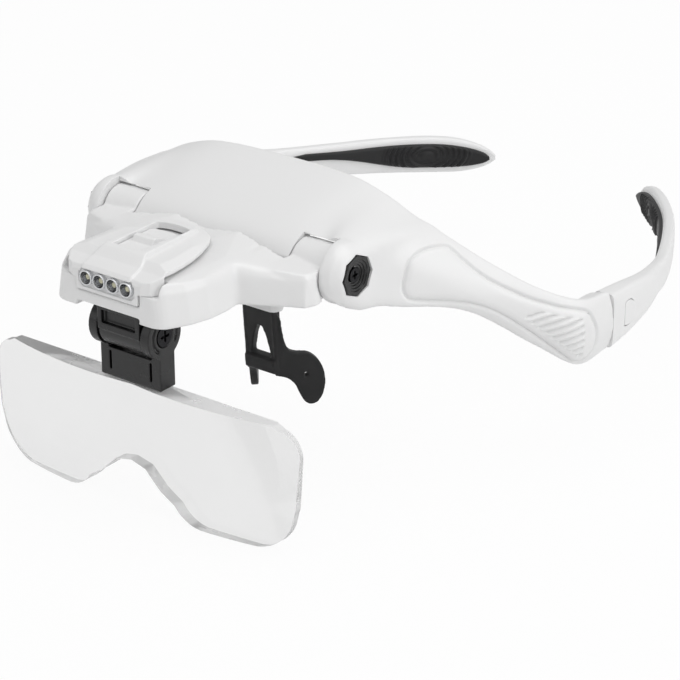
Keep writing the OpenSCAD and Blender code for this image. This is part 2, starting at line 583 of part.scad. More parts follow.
// Lens: two plano-convex halves that meet at a seam, with a nose arch below
lens_back = -hinge_fwd + 3.1;
lens_top = -holder_drop - 0.5;
lens_mid_x = 14;
tongue_t = 2.8;
lens_half_plan = concat(
    [[0, 0], [lens_half_w - 7, 0]],
    arc([lens_half_w - 6, -7.5], 6.5, 80, 0, 6),
    [[lens_half_w - 0.4, 12.5 - lens_h]],
    arc([lens_half_w - 12.5, 11.5 - lens_h], 11.5, -8, -82, 8),
    arc([lens_half_w - 26, 9.5 - lens_h], 9.5, -96, -150, 6),
    [[9.5, arch_h - 5.5 - lens_h], [4.8, arch_h - 0.9 - lens_h], [0, arch_h - lens_h]]);
module lens() color(clear) {
    both_sides() intersection() {
        translate([0, lens_back, lens_top]) rotate([90, 0, 0]) linear_extrude(lens_t + 1) polygon(lens_half_plan);
        translate([lens_mid_x, lens_back - lens_t + lens_curve_r, lens_top - lens_h / 2]) sphere(r = lens_curve_r, $fn = 360);
        translate([0, -80, -100]) cube([100, 100, 100]);
    }
    translate([-tongue_w / 2, lens_back - tongue_t, lens_top - 1]) cube([tongue_w, tongue_t, tongue_h + 1.4]);
}

// Nose pad: a neck that leans back, with a window, a bar across it and two flared wings
wing_t = 2;
pad_lean = 5;
wing_outline = [[-1.6, -1], [0.2, -2], [0.5, -5], [1, -8.4], [2.4, -11], [4.6, -12], [7.4, -12.6], [9.8, -14.6], [11.3, -18],
    [11.5, -22], [10.4, -25.8], [8.2, -27.6], [6, -26.8], [4.6, -24], [3.6, -21.2], [1.6, -18.8], [-1.6, -17.4]];
module nose_wing() translate([neck_w / 2 - 0.6, 0.4, 0]) rotate([90, 0, 90 - flare]) translate([0, 0, -wing_t / 2])
    linear_extrude(wing_t) difference() {
        polygon([for (u = [0 : 0.34 : len(wing_outline) - 1]) spline(wing_outline, u)]);
        translate([6.6, -18.4]) circle(r = 0.55, $fn = 16);
    }
module nose_pad() color(rubber) {
    translate([-neck_w / 2 + 0.15, pad_y - neck_t / 2 + 0.15, -post_drop - 0.3]) cube([neck_w - 0.3, neck_t - 0.3, neck_plug]);
    translate([0, pad_y, -post_drop]) rotate([pad_lean, 0, 0]) difference() {
        union() {
            translate([-neck_w / 2 + 0.15, 0.1 - neck_t / 2, -17]) cube([neck_w - 0.3, neck_t - 0.2, 17]);
            nose_wing();
            mirror([1, 0, 0]) nose_wing();
            translate([-neck_w / 2 + 0.5, -neck_t / 2 - 0.9, -16.6]) cube([neck_w - 1, 3, 3.8]);
        }
        rotate([90, 0, 0]) linear_extrude(30, center = true)
            polygon([[-0.8, -5.4], [0.8, -5.4], [2, -8], [3.3, -12.6], [-3.3, -12.6], [-2, -8]]);
    }
}

// Legs: swept along the curve of the head, from the plug to the tip
leg_path = [[leg_x, seam_y, seam_z], [leg_x + 0.2, seam_y + 9, seam_z + 0.2], [leg_x - 0.8, seam_y + 20, seam_z],
    [leg_x - 3.7, seam_y + 31, seam_z - 0.8], [leg_x - 8.7, seam_y + 44, seam_z - 3.2],
    [leg_x - 17.3, leg_reach - 40, seam_z - 5.2], [tip_x + 23, leg_reach - 25.5, seam_z - 6.4],
    [tip_x + 12.5, leg_reach - 12.5, seam_z - 7.4], [tip_x, leg_reach, seam_z - 9.2]];
leg_h = [seam_h, 13.4, 10.6, 9, 8.8, 9.8, 10.8, 11.2, 9];
leg_w = [seam_t - 0.4, 5.6, 4.8, leg_t, leg_t, leg_t, leg_t, leg_t, leg_t - 0.8];
leg_last = len(leg_path) - 1;
leg_steps = 30;
function leg_dir(u) = unit(spline(leg_path, min(leg_last, u + 0.02)) - spline(leg_path, max(0, u - 0.02)));
function leg_side(u) = let (d = leg_dir(u)) unit([d.y, -d.x, 0]);
// Rounded rectangle of width w and height h at station u, with its corner radius r
function leg_ring(u, w, h, r, shift) = let (c = spline(leg_path, u), s = leg_side(u))
    [for (k = [0 : 3]) let (q = [[1, 1], [-1, 1], [-1, -1], [1, -1]][k]) for (a = [0 : 2])
        let (t = k * 90 + a * 45, x = q.x * (w / 2 - r) + r * cos(t), z = q.y * (h / 2 - r) + r * sin(t))
        c + s * (x + shift) + [0, 0, z]];
module leg_sweep(u0, u1, n) skin_rings([for (i = [0 : n]) let (u = lerp(u0, u1, i / n), e = (leg_last - u) / 0.8,
    round_off = e < 1 ? sqrt(max(0.05, 1 - (1 - e) * (1 - e))) : 1)
    leg_ring(u, spline(leg_w, u), spline(leg_h, u) * round_off, 1.3 * max(0.4, round_off), 0)]);
// Pad on the leg's inner face: a thin tail along its upper part that swells into a paddle at the tip
pad_u0 = 4.2;
pad_u1 = leg_last - 0.12;
function pad_ring(u) = let (c = spline(leg_path, u), s = leg_side(u), e = (u - pad_u0) / (pad_u1 - pad_u0),
    k = min(1, max(0, (e - 0.15) / 0.5)), grow = k * k * (3 - 2 * k), tail = min(1, e / 0.1 + 0.15),
    h = lerp(2.2 * tail, pad_h, grow) * sqrt(max(0.02, 1 - pow(max(0, (e - 0.72) / 0.28), 2))),
    lift = lerp(1.8, 0.1, grow), x = -spline(leg_w, u) / 2)
    [for (q = [[0.02, -1], [-1, -0.8], [-1, 0.8], [0.02, 1]])
        c + s * (x - 0.02 + (q.x < 0 ? -leg_pad_t * min(1, 0.3 + 3 * e) : 0)) + [0, 0, lift + q.y * h / 2]];
latch_y = seam_y + 7;
latch_r = 3.4;
module latch_hole(grow) translate([leg_x - 10, latch_y, seam_z]) rotate([0, 90, 0]) linear_extrude(24) intersection() {
    circle(r = latch_r + grow);
    translate([-10, -1.6 - grow]) square([20, 20]);
}
module right_leg() color(white) difference() {
    union() {
        difference() {
            leg_sweep(0, leg_last, leg_steps);
            translate([0, seam_y - 10 + 0.05, -100]) cube([200, 10, 200]);
        }
        plug_body(plug_len, 0, plug_root);
    }
    intersection() {
        latch_hole(slide_gap);
        translate([leg_x - 0.4, 0, -100]) cube([20, 200, 200]);
    }
}
module right_latch() color(white) intersection() {
    latch_hole(0);
    translate([leg_x + 0.6, seam_y, seam_z - 10]) cube([2.3, 20, 20]);
}
module right_pad() color(rubber) skin_rings([for (i = [0 : 22]) pad_ring(lerp(pad_u0, pad_u1, i / 22))]);
module leg_left() mirror([1, 0, 0]) right_leg();
module leg_right() right_leg();
module leg_pad_left() mirror([1, 0, 0]) right_pad();
module leg_pad_right() right_pad();
module leg_latch_left() mirror([1, 0, 0]) right_latch();
module leg_latch_right() right_latch();

main_frame();
front_bracket();
pivot_cap_left();
pivot_cap_right();
pivot_screw_left();
pivot_screw_right();
pivot_washer_left();
pivot_washer_right();
pivot_nut_left();
pivot_nut_right();
lamp_cover();
lamp_base();
leds();
circuit_board();
switch_slider();
button_cells();
contact_spring();
contact_strip();
lamp_screws();
hinge_clip();
clip_screws();
lens_holder();
hinge_screw();
hinge_washers();
hinge_nut();
lens();
nose_pad();
leg_left();
leg_right();
leg_pad_left();
leg_pad_right();
leg_latch_left();
leg_latch_right();
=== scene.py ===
import logging
import math
from dataclasses import dataclass
from enum import Enum
from typing import Callable, Iterable, Sequence

import bmesh
import bpy
import numpy as np
from mathutils import Matrix, Vector


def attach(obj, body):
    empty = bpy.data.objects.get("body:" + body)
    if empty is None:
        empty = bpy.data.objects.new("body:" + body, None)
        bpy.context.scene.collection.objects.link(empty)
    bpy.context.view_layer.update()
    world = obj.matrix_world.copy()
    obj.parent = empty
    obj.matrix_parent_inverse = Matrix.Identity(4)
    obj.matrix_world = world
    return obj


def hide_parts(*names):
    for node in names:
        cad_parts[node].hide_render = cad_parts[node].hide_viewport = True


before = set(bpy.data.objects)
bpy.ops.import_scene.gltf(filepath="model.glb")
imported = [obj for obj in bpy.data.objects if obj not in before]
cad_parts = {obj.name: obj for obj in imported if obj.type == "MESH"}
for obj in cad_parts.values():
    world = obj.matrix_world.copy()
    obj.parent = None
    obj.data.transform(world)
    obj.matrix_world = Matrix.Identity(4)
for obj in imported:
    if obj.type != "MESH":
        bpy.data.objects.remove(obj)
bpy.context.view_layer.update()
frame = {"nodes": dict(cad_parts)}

# Lighted headband magnifier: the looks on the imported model.
# Sizes in this file are millimetres, as in the part's source, and MM turns them into metres.
# +X is the wearer's left, -Y is forward and +Z is up; the origin is the middle of the tilt axis.

MM = 0.001
OCTAGON = math.cos(math.pi / 8)  # half the width across the flats for a corner radius of 1
WELD = 1e-4  # points closer than this are one point
FAR = 60.0  # a length beyond every part of the lamp, for its cuts
log = logging.getLogger("headband_magnifier")
Array = np.ndarray
Bm = bmesh.types.BMesh
Piece = bpy.types.Object
Tree = bpy.types.NodeTree
Socket = bpy.types.NodeSocket
Pair = tuple[float, float]
Triple = tuple[float, float, float]
Outline = list[Pair]


class Side(Enum):
    """The two sides of the frame, as seen from the front, with the sign of X."""

    LEFT = -1
    RIGHT = 1

    @property
    def word(self) -> str:
        """The side's name as the nodes use it."""
        return self.name.lower()


class Join(Enum):
    """What a solid does to another one."""

    ADD = "UNION"
    CUT = "DIFFERENCE"
    KEEP = "INTERSECT"


# ---- materials


def linear(hex_colour: str) -> tuple[float, float, float, float]:
    """Turns an sRGB colour of # and six hex digits into the linear one that the shaders take."""
    parts = (int(hex_colour[i:i + 2], 16) / 255 for i in (1, 3, 5))
    return (*(p / 12.92 if p <= 0.04045 else ((p + 0.055) / 1.055) ** 2.4 for p in parts), 1.0)


def empty_tree(owner: bpy.types.Material | bpy.types.World) -> Tree:
    """Switches the nodes of a material or world on and clears them."""
    owner.use_nodes = True
    owner.node_tree.nodes.clear()
    return owner.node_tree


def add_node(tree: Tree, kind: str, settings: dict[str, object] | None = None,
             values: dict[str, object] | None = None, links: dict[str, Socket] | None = None) -> bpy.types.Node:
    """Adds one shader node.

    Args:
        tree: The tree that gets the node.
        kind: The node's type name.
        settings: Properties of the node.
        values: Values of its input sockets, by name.
        links: Sockets of other nodes that feed its inputs, by name.

    Returns:
        The new node.
    """
    node = tree.nodes.new(kind)
    for key, value in (settings or {}).items():
        setattr(node, key, value)
    for key, value in (values or {}).items():
        node.inputs[key].default_value = value
    for key, source in (links or {}).items():
        tree.links.new(source, node.inputs[key])
    return node


@dataclass(frozen=True)
class Finish:
    """A surface finish: the material's own colour and gloss, and the relief of its grain."""

    name: str
    colour: str
    drift: str
    roughness: float
    spread: float
    grain_mm: float
    depth_mm: float
    ior: float = 1.5
    metallic: float = 0.0
    drift_mm: float = 12.0
    stretch: Triple = (1.0, 1.0, 1.0)
    coat: float = 0.0
    transmission: float = 0.0
    sheen: float = 0.0

    def material(self) -> bpy.types.Material:
        """Builds the finish's material, or hands back the one that is there.

        Returns:
            The material.
        """
        found = bpy.data.materials.get(self.name)
        if found:
            return found
        made = bpy.data.materials.new(self.name)
        tree = empty_tree(made)
        place = add_node(tree, "ShaderNodeTexCoord")
        turned = add_node(tree, "ShaderNodeMapping", values={"Scale": self.stretch},
                          links={"Vector": place.outputs["Object"]})
        slow, fine = (add_node(tree, "ShaderNodeTexNoise", values={"Scale": 1 / (size * MM), "Detail": detail},
                               links={"Vector": turned.outputs["Vector"]})
                      for size, detail in ((self.drift_mm, 3.0), (self.grain_mm, 2.0)))
        tone = add_node(tree, "ShaderNodeMix", {"data_type": "RGBA"}, links={"Factor": slow.outputs["Fac"]})
        tone.inputs[6].default_value = linear(self.colour)
        tone.inputs[7].default_value = linear(self.drift)
        gloss = add_node(tree, "ShaderNodeMapRange", values={
            "From Min": 0.25, "From Max": 0.75, "To Min": max(0.0, self.roughness - self.spread),
            "To Max": self.roughness + self.spread}, links={"Value": slow.outputs["Fac"]})
        relief = add_node(tree, "ShaderNodeBump", values={"Strength": 1.0, "Distance": self.depth_mm * MM},
                          links={"Height": fine.outputs["Fac"]})
        surface = add_node(tree, "ShaderNodeBsdfPrincipled", values={
            "Metallic": self.metallic, "IOR": self.ior, "Coat Weight": self.coat, "Coat Roughness": 0.08,
            "Transmission Weight": self.transmission, "Sheen Weight": self.sheen, "Sheen Roughness": 0.4},
            links={"Base Color": tone.outputs[2], "Roughness": gloss.outputs["Result"],
                   "Normal": relief.outputs["Normal"]})
        add_node(tree, "ShaderNodeOutputMaterial", links={"Surface": surface.outputs["BSDF"]})
        return made

    def dress(self, *pieces: Piece) -> None:
        """Gives the finish to pieces, in place of what they had."""
        for piece in pieces:
            piece.data.materials.clear()
            piece.data.materials.append(self.material())


# Glossy moulded ABS: a bright neutral white whose soft sheen shows the form, with faint orange peel.
WHITE_ABS = Finish("moulded_white_abs", "#E8E8E8", "#EAEAEA", 0.3, 0.015, 0.9, 0.0015, ior=1.53, drift_mm=30.0)
# The same ABS inside the lamp's seat, a little duller where the mould is textured.
SATIN_ABS = Finish("satin_white_abs", "#E3E3E3", "#E6E6E6", 0.42, 0.03, 0.5, 0.003, ior=1.53, drift_mm=20.0)
# Black moulded nylon of the lens hinge: nearly black, with soft broad highlights and a fine spark-eroded grain.
BLACK_NYLON = Finish("moulded_black_nylon", "#0B0B0C", "#121213", 0.27, 0.06, 0.35, 0.01, ior=1.53)
# Black ABS of the octagonal caps: deeper gloss than the nylon, so that its stepped rings catch the light.
BLACK_ABS = Finish("gloss_black_abs", "#070708", "#0C0C0D", 0.18, 0.04, 0.6, 0.004, ior=1.53)
# Soft moulded silicone rubber: dark grey, matte, with a velvety edge.
SOFT_RUBBER = Finish("matte_silicone_rubber", "#151516", "#1C1C1D", 0.5, 0.06, 0.3, 0.012, ior=1.43, sheen=0.12)
# Black oxide on the screws: a dark metal with a brushed broken highlight.
BLACK_STEEL = Finish("black_oxide_steel", "#242426", "#303032", 0.3, 0.06, 0.25, 0.006, metallic=1.0)
# Zinc-plated steel of nuts and washers: pale, slightly cloudy.
ZINC_STEEL = Finish("zinc_plated_steel", "#C3C6C8", "#AEB2B5", 0.32, 0.08, 0.5, 0.004, metallic=1.0)
# Nickel-plated steel of the button cells: smooth and bright.
CELL_STEEL = Finish("nickel_plated_steel", "#CFCBC2", "#BFBBB2", 0.24, 0.05, 0.4, 0.003, metallic=1.0)
# Phosphor bronze of the contact leaves: warm metal with rolled streaks along Y.
BRONZE = Finish("phosphor_bronze", "#C79A5B", "#B98A4C", 0.3, 0.06, 0.2, 0.004, metallic=1.0, stretch=(4.0, 0.3, 4.0))
# Glass-epoxy board under green solder mask: semi-gloss with a faint weave.
BOARD_EPOXY = Finish("green_glass_epoxy", "#1E5B38", "#24663F", 0.34, 0.05, 0.4, 0.006, ior=1.55)
# Clear cast epoxy of the diodes: water-clear with a faint smoky body.
CLEAR_EPOXY = Finish("clear_cast_epoxy", "#E8EAEC", "#E2E4E6", 0.05, 0.02, 1.0, 0.001, ior=1.54, transmission=1.0)
# Reflector cup inside a diode: a stamped silvered bowl, its colour darkened to a mid grey as painted shade so that it
# reads dark grey in the lens.
CUP_SILVER_PAINTED_SHADE = Finish("silvered_cup_painted_shade", "#7E8083", "#727477", 0.25, 0.05, 0.2, 0.002, metallic=1.0)
# Satin chrome of the diodes' collars: pale metal that mirrors the white round it.
COLLAR_CHROME = Finish("satin_chrome", "#E4E5E7", "#DADBDD", 0.34, 0.05, 0.3, 0.002, metallic=1.0)
# Phosphor over the die: pale yellow, matte.
PHOSPHOR = Finish("yellow_phosphor", "#F0EBCF", "#EBE4BF", 0.6, 0.05, 0.1, 0.004)
# Polished acrylic of the lens: clear, with the faint neutral grey of a thick clear block.
ACRYLIC = Finish("polished_acrylic", "#EDEDED", "#EBEBEB", 0.02, 0.01, 6.0, 0.0004, ior=1.49, transmission=1.0)
# Ground edge of the same acrylic: fine-frosted, so it reads as a pale band round the clear faces.
ACRYLIC_EDGE = Finish("ground_acrylic_edge", "#F6F6F6", "#F1F1F1", 0.3, 0.08, 0.5, 0.002, ior=1.49, transmission=0.65)


# ---- mesh tools


def placed(name: str, data: bpy.types.ID) -> Piece:
    """Makes an object of a mesh, a lamp or a camera and adds it to the scene."""
    made = bpy.data.objects.new(name, data)
    bpy.context.scene.collection.objects.link(made)
    return made


def piece_from(name: str, shape: Bm, smooth_deg: float = 32.0) -> Piece:
    """Makes an object of a bmesh in millimetres, with its place in its mesh.

    Args:
        name: The piece's name.
        shape: The bmesh, which is freed.
        smooth_deg: Edges sharper than this stay crisp in the shading.

    Returns:
        The object, at the origin, in metres.
    """
    bmesh.ops.scale(shape, vec=(MM, MM, MM), verts=shape.verts)
    mesh = bpy.data.meshes.new(name)
    shape.to_mesh(mesh)
    shape.free()
    made = placed(name, mesh)
    shade(made, smooth_deg)
    return made


def shade(piece: Piece, smooth_deg: float) -> None:
    """Shades a piece smooth, apart from edges that are sharper than the angle."""
    piece.data.shade_smooth()
    piece.data.set_sharp_from_angle(angle=math.radians(smooth_deg))


def modify(piece: Piece, kind: str, **settings: object) -> None:
    """Adds one live modifier to a piece, with its settings."""
    step = piece.modifiers.new(kind.lower(), kind)
    for key, value in settings.items():
        setattr(step, key, value)


def settle(piece: Piece, smooth_deg: float = 32.0) -> Piece:
    """Turns a piece's modifiers into its mesh.

    Args:
        piece: The object with live modifiers.
        smooth_deg: Edges sharper than this stay crisp in the shading.

    Returns:
        The same object, with a plain mesh.
    """
    bpy.context.view_layer.update()
    shown = piece.evaluated_get(bpy.context.evaluated_depsgraph_get())
    mesh = bpy.data.meshes.new_from_object(shown)
    piece.modifiers.clear()
    old = piece.data
    piece.data = mesh
    mesh.name = piece.name
    bpy.data.meshes.remove(old)
    shade(piece, smooth_deg)
    return piece


def discard(piece: Piece) -> None:
    """Removes a helper piece with its mesh."""
    mesh = piece.data
    bpy.data.objects.remove(piece)
    bpy.data.meshes.remove(mesh)


def combine(piece: Piece, tool: Bm, how: Join) -> None:
    """Adds a solid to a piece or cuts it out.

    Args:
        piece: The closed mesh that is changed.
        tool: The other solid in millimetres, which is freed.
        how: Add, cut or keep what both have.
    """
    other = piece_from("tool", tool)
    modify(piece, "BOOLEAN", operation=how.value, solver="MANIFOLD", object=other)
    settle(piece)
    discard(other)


def moulded(piece: Piece, voxel_mm: float, passes: int, smooth_deg: float = 60.0) -> Piece:
    """Rounds every edge of a closed piece a little, as a mould does.

    Args:
        piece: The closed mesh.
        voxel_mm: Size of the new even mesh.
        passes: How far the edges are rounded.
        smooth_deg: Edges sharper than this stay crisp in the shading.

    Returns:
        The same object.
    """
    modify(piece, "REMESH", mode="VOXEL", voxel_size=voxel_mm * MM)
    modify(piece, "SMOOTH", factor=0.5, iterations=passes)
    return settle(piece, smooth_deg)


def shape_of(piece: Piece) -> Bm:
    """A piece's mesh as a bmesh in millimetres."""
    shape = bmesh.new()
    shape.from_mesh(piece.data)
    bmesh.ops.scale(shape, vec=(1 / MM, 1 / MM, 1 / MM), verts=shape.verts)
    return shape


def taken(piece: Piece) -> Bm:
    """Takes a helper piece's mesh in millimetres and removes the piece."""
    shape = shape_of(piece)
    discard(piece)
    return shape


def copy_of(node: str, name: str) -> Piece:
    """Copies a CAD node's solid into a new piece with its corners merged.

    Args:
        node: The CAD node.
        name: The new piece's name.

    Returns:
        The copy, at the origin.
    """
    shape = shape_of(frame["nodes"][node])
    bmesh.ops.remove_doubles(shape, verts=shape.verts, dist=WELD)
    return piece_from(name, shape)


def soft_edged(node: str, body: str, finish: Finish, voxel_mm: float, passes: int) -> Piece:
    """Replaces a CAD node on its body with its own form and rounded edges."""
    return fit(moulded(copy_of(node, node + "_moulded"), voxel_mm, passes), body, finish, node)


def fit(piece: Piece, body: str, finish: Finish, *nodes: str) -> Piece:
    """Dresses a piece, lets it ride on its body and stand for CAD nodes.

    Args:
        piece: The piece.
        body: The body that carries it.
        finish: What it is made of.
        nodes: The CAD nodes that it stands for.

    Returns:
        The piece.
    """
    finish.dress(piece)
    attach(piece, body)
    if nodes:
        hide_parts(*nodes)
    return piece


def span(side: int, inner: float, outer: float) -> Pair:
    """Two distances from the middle line as ordered X values on one side."""
    return (inner, outer) if side > 0 else (-outer, -inner)


def rod(radius: float, start: float, end: float, sides: int = 96, end_radius: float | None = None,
        shape: Bm | None = None) -> Bm:
    """Makes a cylinder or cone on the tilt axis.

    Args:
        radius: Radius at the start.
        start: X of its one end.
        end: X of its other end, further along X.
        sides: Number of sides.
        end_radius: Radius at the end, if it isn't the same.
        shape: A bmesh to add it to, or none for a new one.

    Returns:
        The bmesh.
    """
    shape = shape or bmesh.new()
    place = Matrix.Translation(((start + end) / 2, 0, 0)) @ Matrix.Rotation(math.pi / 2, 4, "Y")
    bmesh.ops.create_cone(shape, cap_ends=True, cap_tris=False, segments=sides, radius1=radius,
                          radius2=radius if end_radius is None else end_radius, depth=end - start, matrix=place)
    return shape


def box(low: Sequence[float], high: Sequence[float]) -> Bm:
    """Makes the room between two corners, as a tool for cuts and joins.

    Args:
        low: The corner with the lowest values.
        high: The corner with the highest values.

    Returns:
        The closed bmesh.
    """
    shape = bmesh.new()
    size = [h - a for a, h in zip(low, high)]
    middle = [(h + a) / 2 for a, h in zip(low, high)]
    bmesh.ops.create_cube(shape, size=1.0, matrix=Matrix.Translation(middle) @ Matrix.Diagonal((*size, 1.0)))
    return shape


def wrapped(points: Iterable[Sequence[float]]) -> Bm:
    """Wraps points in one convex solid.

    Args:
        points: The points; those inside the solid are dropped.

    Returns:
        The closed bmesh.
    """
    shape = bmesh.new()
    for point in points:
        shape.verts.new(point)
    made = bmesh.ops.convex_hull(shape, input=shape.verts)
    loose = {v for v in made["geom_interior"] + made["geom_unused"] if isinstance(v, bmesh.types.BMVert)}
    bmesh.ops.delete(shape, geom=list(loose), context="VERTS")
    return shape


def hull_of(*layers: tuple[Outline, float, float]) -> Bm:
    """Wraps flat outlines, each with a lower and an upper height, in one convex solid."""
    return wrapped((x, y, z) for outline, low, high in layers for z in (low, high) for x, y in outline)


def prism(outline: Outline, start: float, end: float, along_x: bool = False) -> Bm:
    """Draws an outline out along Z, or an outline of Y and Z along X.

    Args:
        outline: Its corners.
        start: Where the solid begins.
        end: Where it ends.
        along_x: Whether it runs along X.

    Returns:
        The closed bmesh.
    """
    shape = bmesh.new()
    face = shape.faces.new([shape.verts.new((start, a, b) if along_x else (a, b, start)) for a, b in outline])
    made = bmesh.ops.extrude_face_region(shape, geom=[face])
    shift = (end - start, 0, 0) if along_x else (0, 0, end - start)
    bmesh.ops.translate(shape, vec=shift, verts=[v for v in made["geom"] if isinstance(v, bmesh.types.BMVert)])
    bmesh.ops.recalc_face_normals(shape, faces=shape.faces)
    return shape


def mirrored(half: Outline) -> Outline:
    """Closes an outline that runs along +X from the middle line and back to it."""
    return list(half) + [(-x, y) for x, y in reversed(half) if x > 0]


def mapped_grid(across: int, along: int, place: Callable[[Array, Array], Array]) -> Bm:
    """Lays a grid whose rows are closed rings over a form, and caps both ends.

    Args:
        across: Steps round each ring.
        along: Steps from end to end.
        place: Gives the points for arrays of the share along and the share round.

    Returns:
        The closed bmesh, with its faces outwards.
    """
    shape = bmesh.new()
    bmesh.ops.create_grid(shape, x_segments=along, y_segments=across, size=1.0)
    flat = np.array([v.co for v in shape.verts])
    points = place((flat[:, 0] + 1) / 2, (flat[:, 1] + 1) / 2)
    for vert, point in zip(shape.verts, points):
        vert.co = point
    bmesh.ops.remove_doubles(shape, verts=shape.verts, dist=WELD)
    bmesh.ops.holes_fill(shape, edges=[e for e in shape.edges if e.is_boundary], sides=0)
    bmesh.ops.recalc_face_normals(shape, faces=shape.faces)
    return shape


def spline(a: Array, b: Array, c: Array, d: Array, part: Array) -> Array:
    """The smooth way from b to c, with a before it and d after it."""
    return 0.5 * (2 * b + (c - a) * part + (2 * a - 5 * b + 4 * c - d) * part ** 2
                  + (3 * b - a - 3 * c + d) * part ** 3)


def curve_through(points: Array, at: Array) -> Array:
    """Follows a smooth curve through points.

    Args:
        points: The points, first index from end to end.
        at: Where on the curve, counted in points.

    Returns:
        One point for each place.
    """
    last = len(points) - 1
    step = np.clip(np.floor(at).astype(int), 0, last - 1)
    part = (at - step).reshape((-1,) + (1,) * (points.ndim - 1))
    wide = np.concatenate([[2 * points[0] - points[1]], points, [2 * points[-1] - points[-2]]])
    return spline(*(wide[step + k] for k in range(4)), part)


def on_net(net: Array, along: Array, across: Array) -> Array:
    """Follows a smooth surface through a net of points.

    Args:
        net: The points, by row and place in the row.
        along: Where along the rows' order, counted in rows.
        across: Where in the rows, counted in points.

    Returns:
        One point for each place.
    """
    rows = curve_through(net, along)
    last = rows.shape[1] - 1
    wide = np.concatenate([2 * rows[:, :1] - rows[:, 1:2], rows, 2 * rows[:, -1:] - rows[:, -2:-1]], axis=1)
    step = np.clip(np.floor(across).astype(int), 0, last - 1)
    part = (across - step)[:, None]
    each = np.arange(len(rows))
    return spline(*(wide[each, step + k] for k in range(4)), part)


def rounded(start: Array, first: Array, second: Array, end: Array, r: Array, at: Array) -> Array:
    """Follows a wall's edge round two corners.

    Args:
        start: Points before the first corner.
        first: The first corners.
        second: The second corners.
        end: Points after the second corner.
        r: How far the rounding reaches from a corner.
        at: Share of the way, from 0 to 1.

    Returns:
        One point for each.
    """
    cross = unit(second - first) * r[:, None]
    past, before = first + cross, second - cross
    a, b = np.clip(at / 0.4, 0, 1)[:, None], np.clip((at - 0.6) / 0.4, 0, 1)[:, None]
    middle = np.clip((at - 0.4) / 0.2, 0, 1)[:, None]
    turn_in = (1 - a) ** 2 * start + 2 * a * (1 - a) * first + a * a * past
    turn_out = (1 - b) ** 2 * before + 2 * b * (1 - b) * second + b * b * end
    return np.where(at[:, None] < 0.4, turn_in,
                    np.where(at[:, None] < 0.6, past + (before - past) * middle, turn_out))


def unit(vectors: Array) -> Array:
    """Vectors of the same directions with a length of 1."""
    return vectors / np.maximum(np.linalg.norm(vectors, axis=1, keepdims=True), 1e-9)


def ease(value: Array, start: float, end: float) -> Array:
    """A smooth step from 0 at start to 1 at end."""
    share = np.clip((value - start) / (end - start), 0, 1)
    return share * share * (3 - 2 * share)


def band(value: Array, start: float, full: float, fall: float, end: float) -> Array:
    """Rises smoothly from 0 at start to 1 at full and falls from 1 at fall to 0 at end."""
    return ease(value, start, full) * (1 - ease(value, fall, end))


def inside_by(line: Array, points: Array) -> Array:
    """How far points lie inside a closed line, judged by Y and Z alone.

    Args:
        line: Corners of the line.
        points: The points.

    Returns:
        The distance to the line, above 0 inside it.
    """
    least = np.full(len(points), 1e9)
    inside = np.zeros(len(points), bool)
    for p, q in zip(line, np.roll(line, -1, axis=0)):
        run = q - p
        share = np.clip(((points - p) @ run) / (run @ run), 0, 1)
        least = np.minimum(least, np.linalg.norm(points - p - share[:, None] * run, axis=1))
        crosses = (p[2] > points[:, 2]) != (q[2] > points[:, 2])
        reach = run[1] * (points[:, 2] - p[2]) / (run[2] if run[2] != 0 else 1e-9) + p[1]
        inside ^= crosses & (points[:, 1] < reach)
    return np.where(inside, least, -least)


def squared(wave: Array, power: float) -> Array:
    """A wave between -1 and 1, drawn out towards a square one by a power under 1."""
    return np.sign(wave) * np.abs(wave) ** power


def read(piece: Piece, what: str) -> Array:
    """Three numbers of one kind for each of a piece's points."""
    flat = np.zeros(len(piece.data.vertices) * 3)
    piece.data.vertices.foreach_get(what, flat)
    return flat.reshape(-1, 3)


def points_of(piece: Piece) -> Array:
    """A piece's points in millimetres."""
    return read(piece, "co") / MM


def normals_of(piece: Piece) -> Array:
    """Outward directions at a piece's points."""
    return read(piece, "normal")


def move_points(piece: Piece, points: Array) -> None:
    """Gives a piece's points new places, in millimetres."""
    piece.data.vertices.foreach_set("co", (points * MM).ravel())
    piece.data.update()


def flow(piece: Piece, weight: Array, passes: int) -> None:
    """Smooths a piece where its points have weight.

    Args:
        piece: The piece.
        weight: From 0 to 1 for each point.
        passes: How often the smoothing runs.
    """
    group = piece.vertex_groups.new(name="flow")
    for index in np.nonzero(weight > 0.01)[0]:
        group.add([int(index)], float(weight[index]), "REPLACE")
    modify(piece, "SMOOTH", factor=0.5, iterations=passes, vertex_group=group.name)
    settle(piece, 60.0)


# ---- visor frame


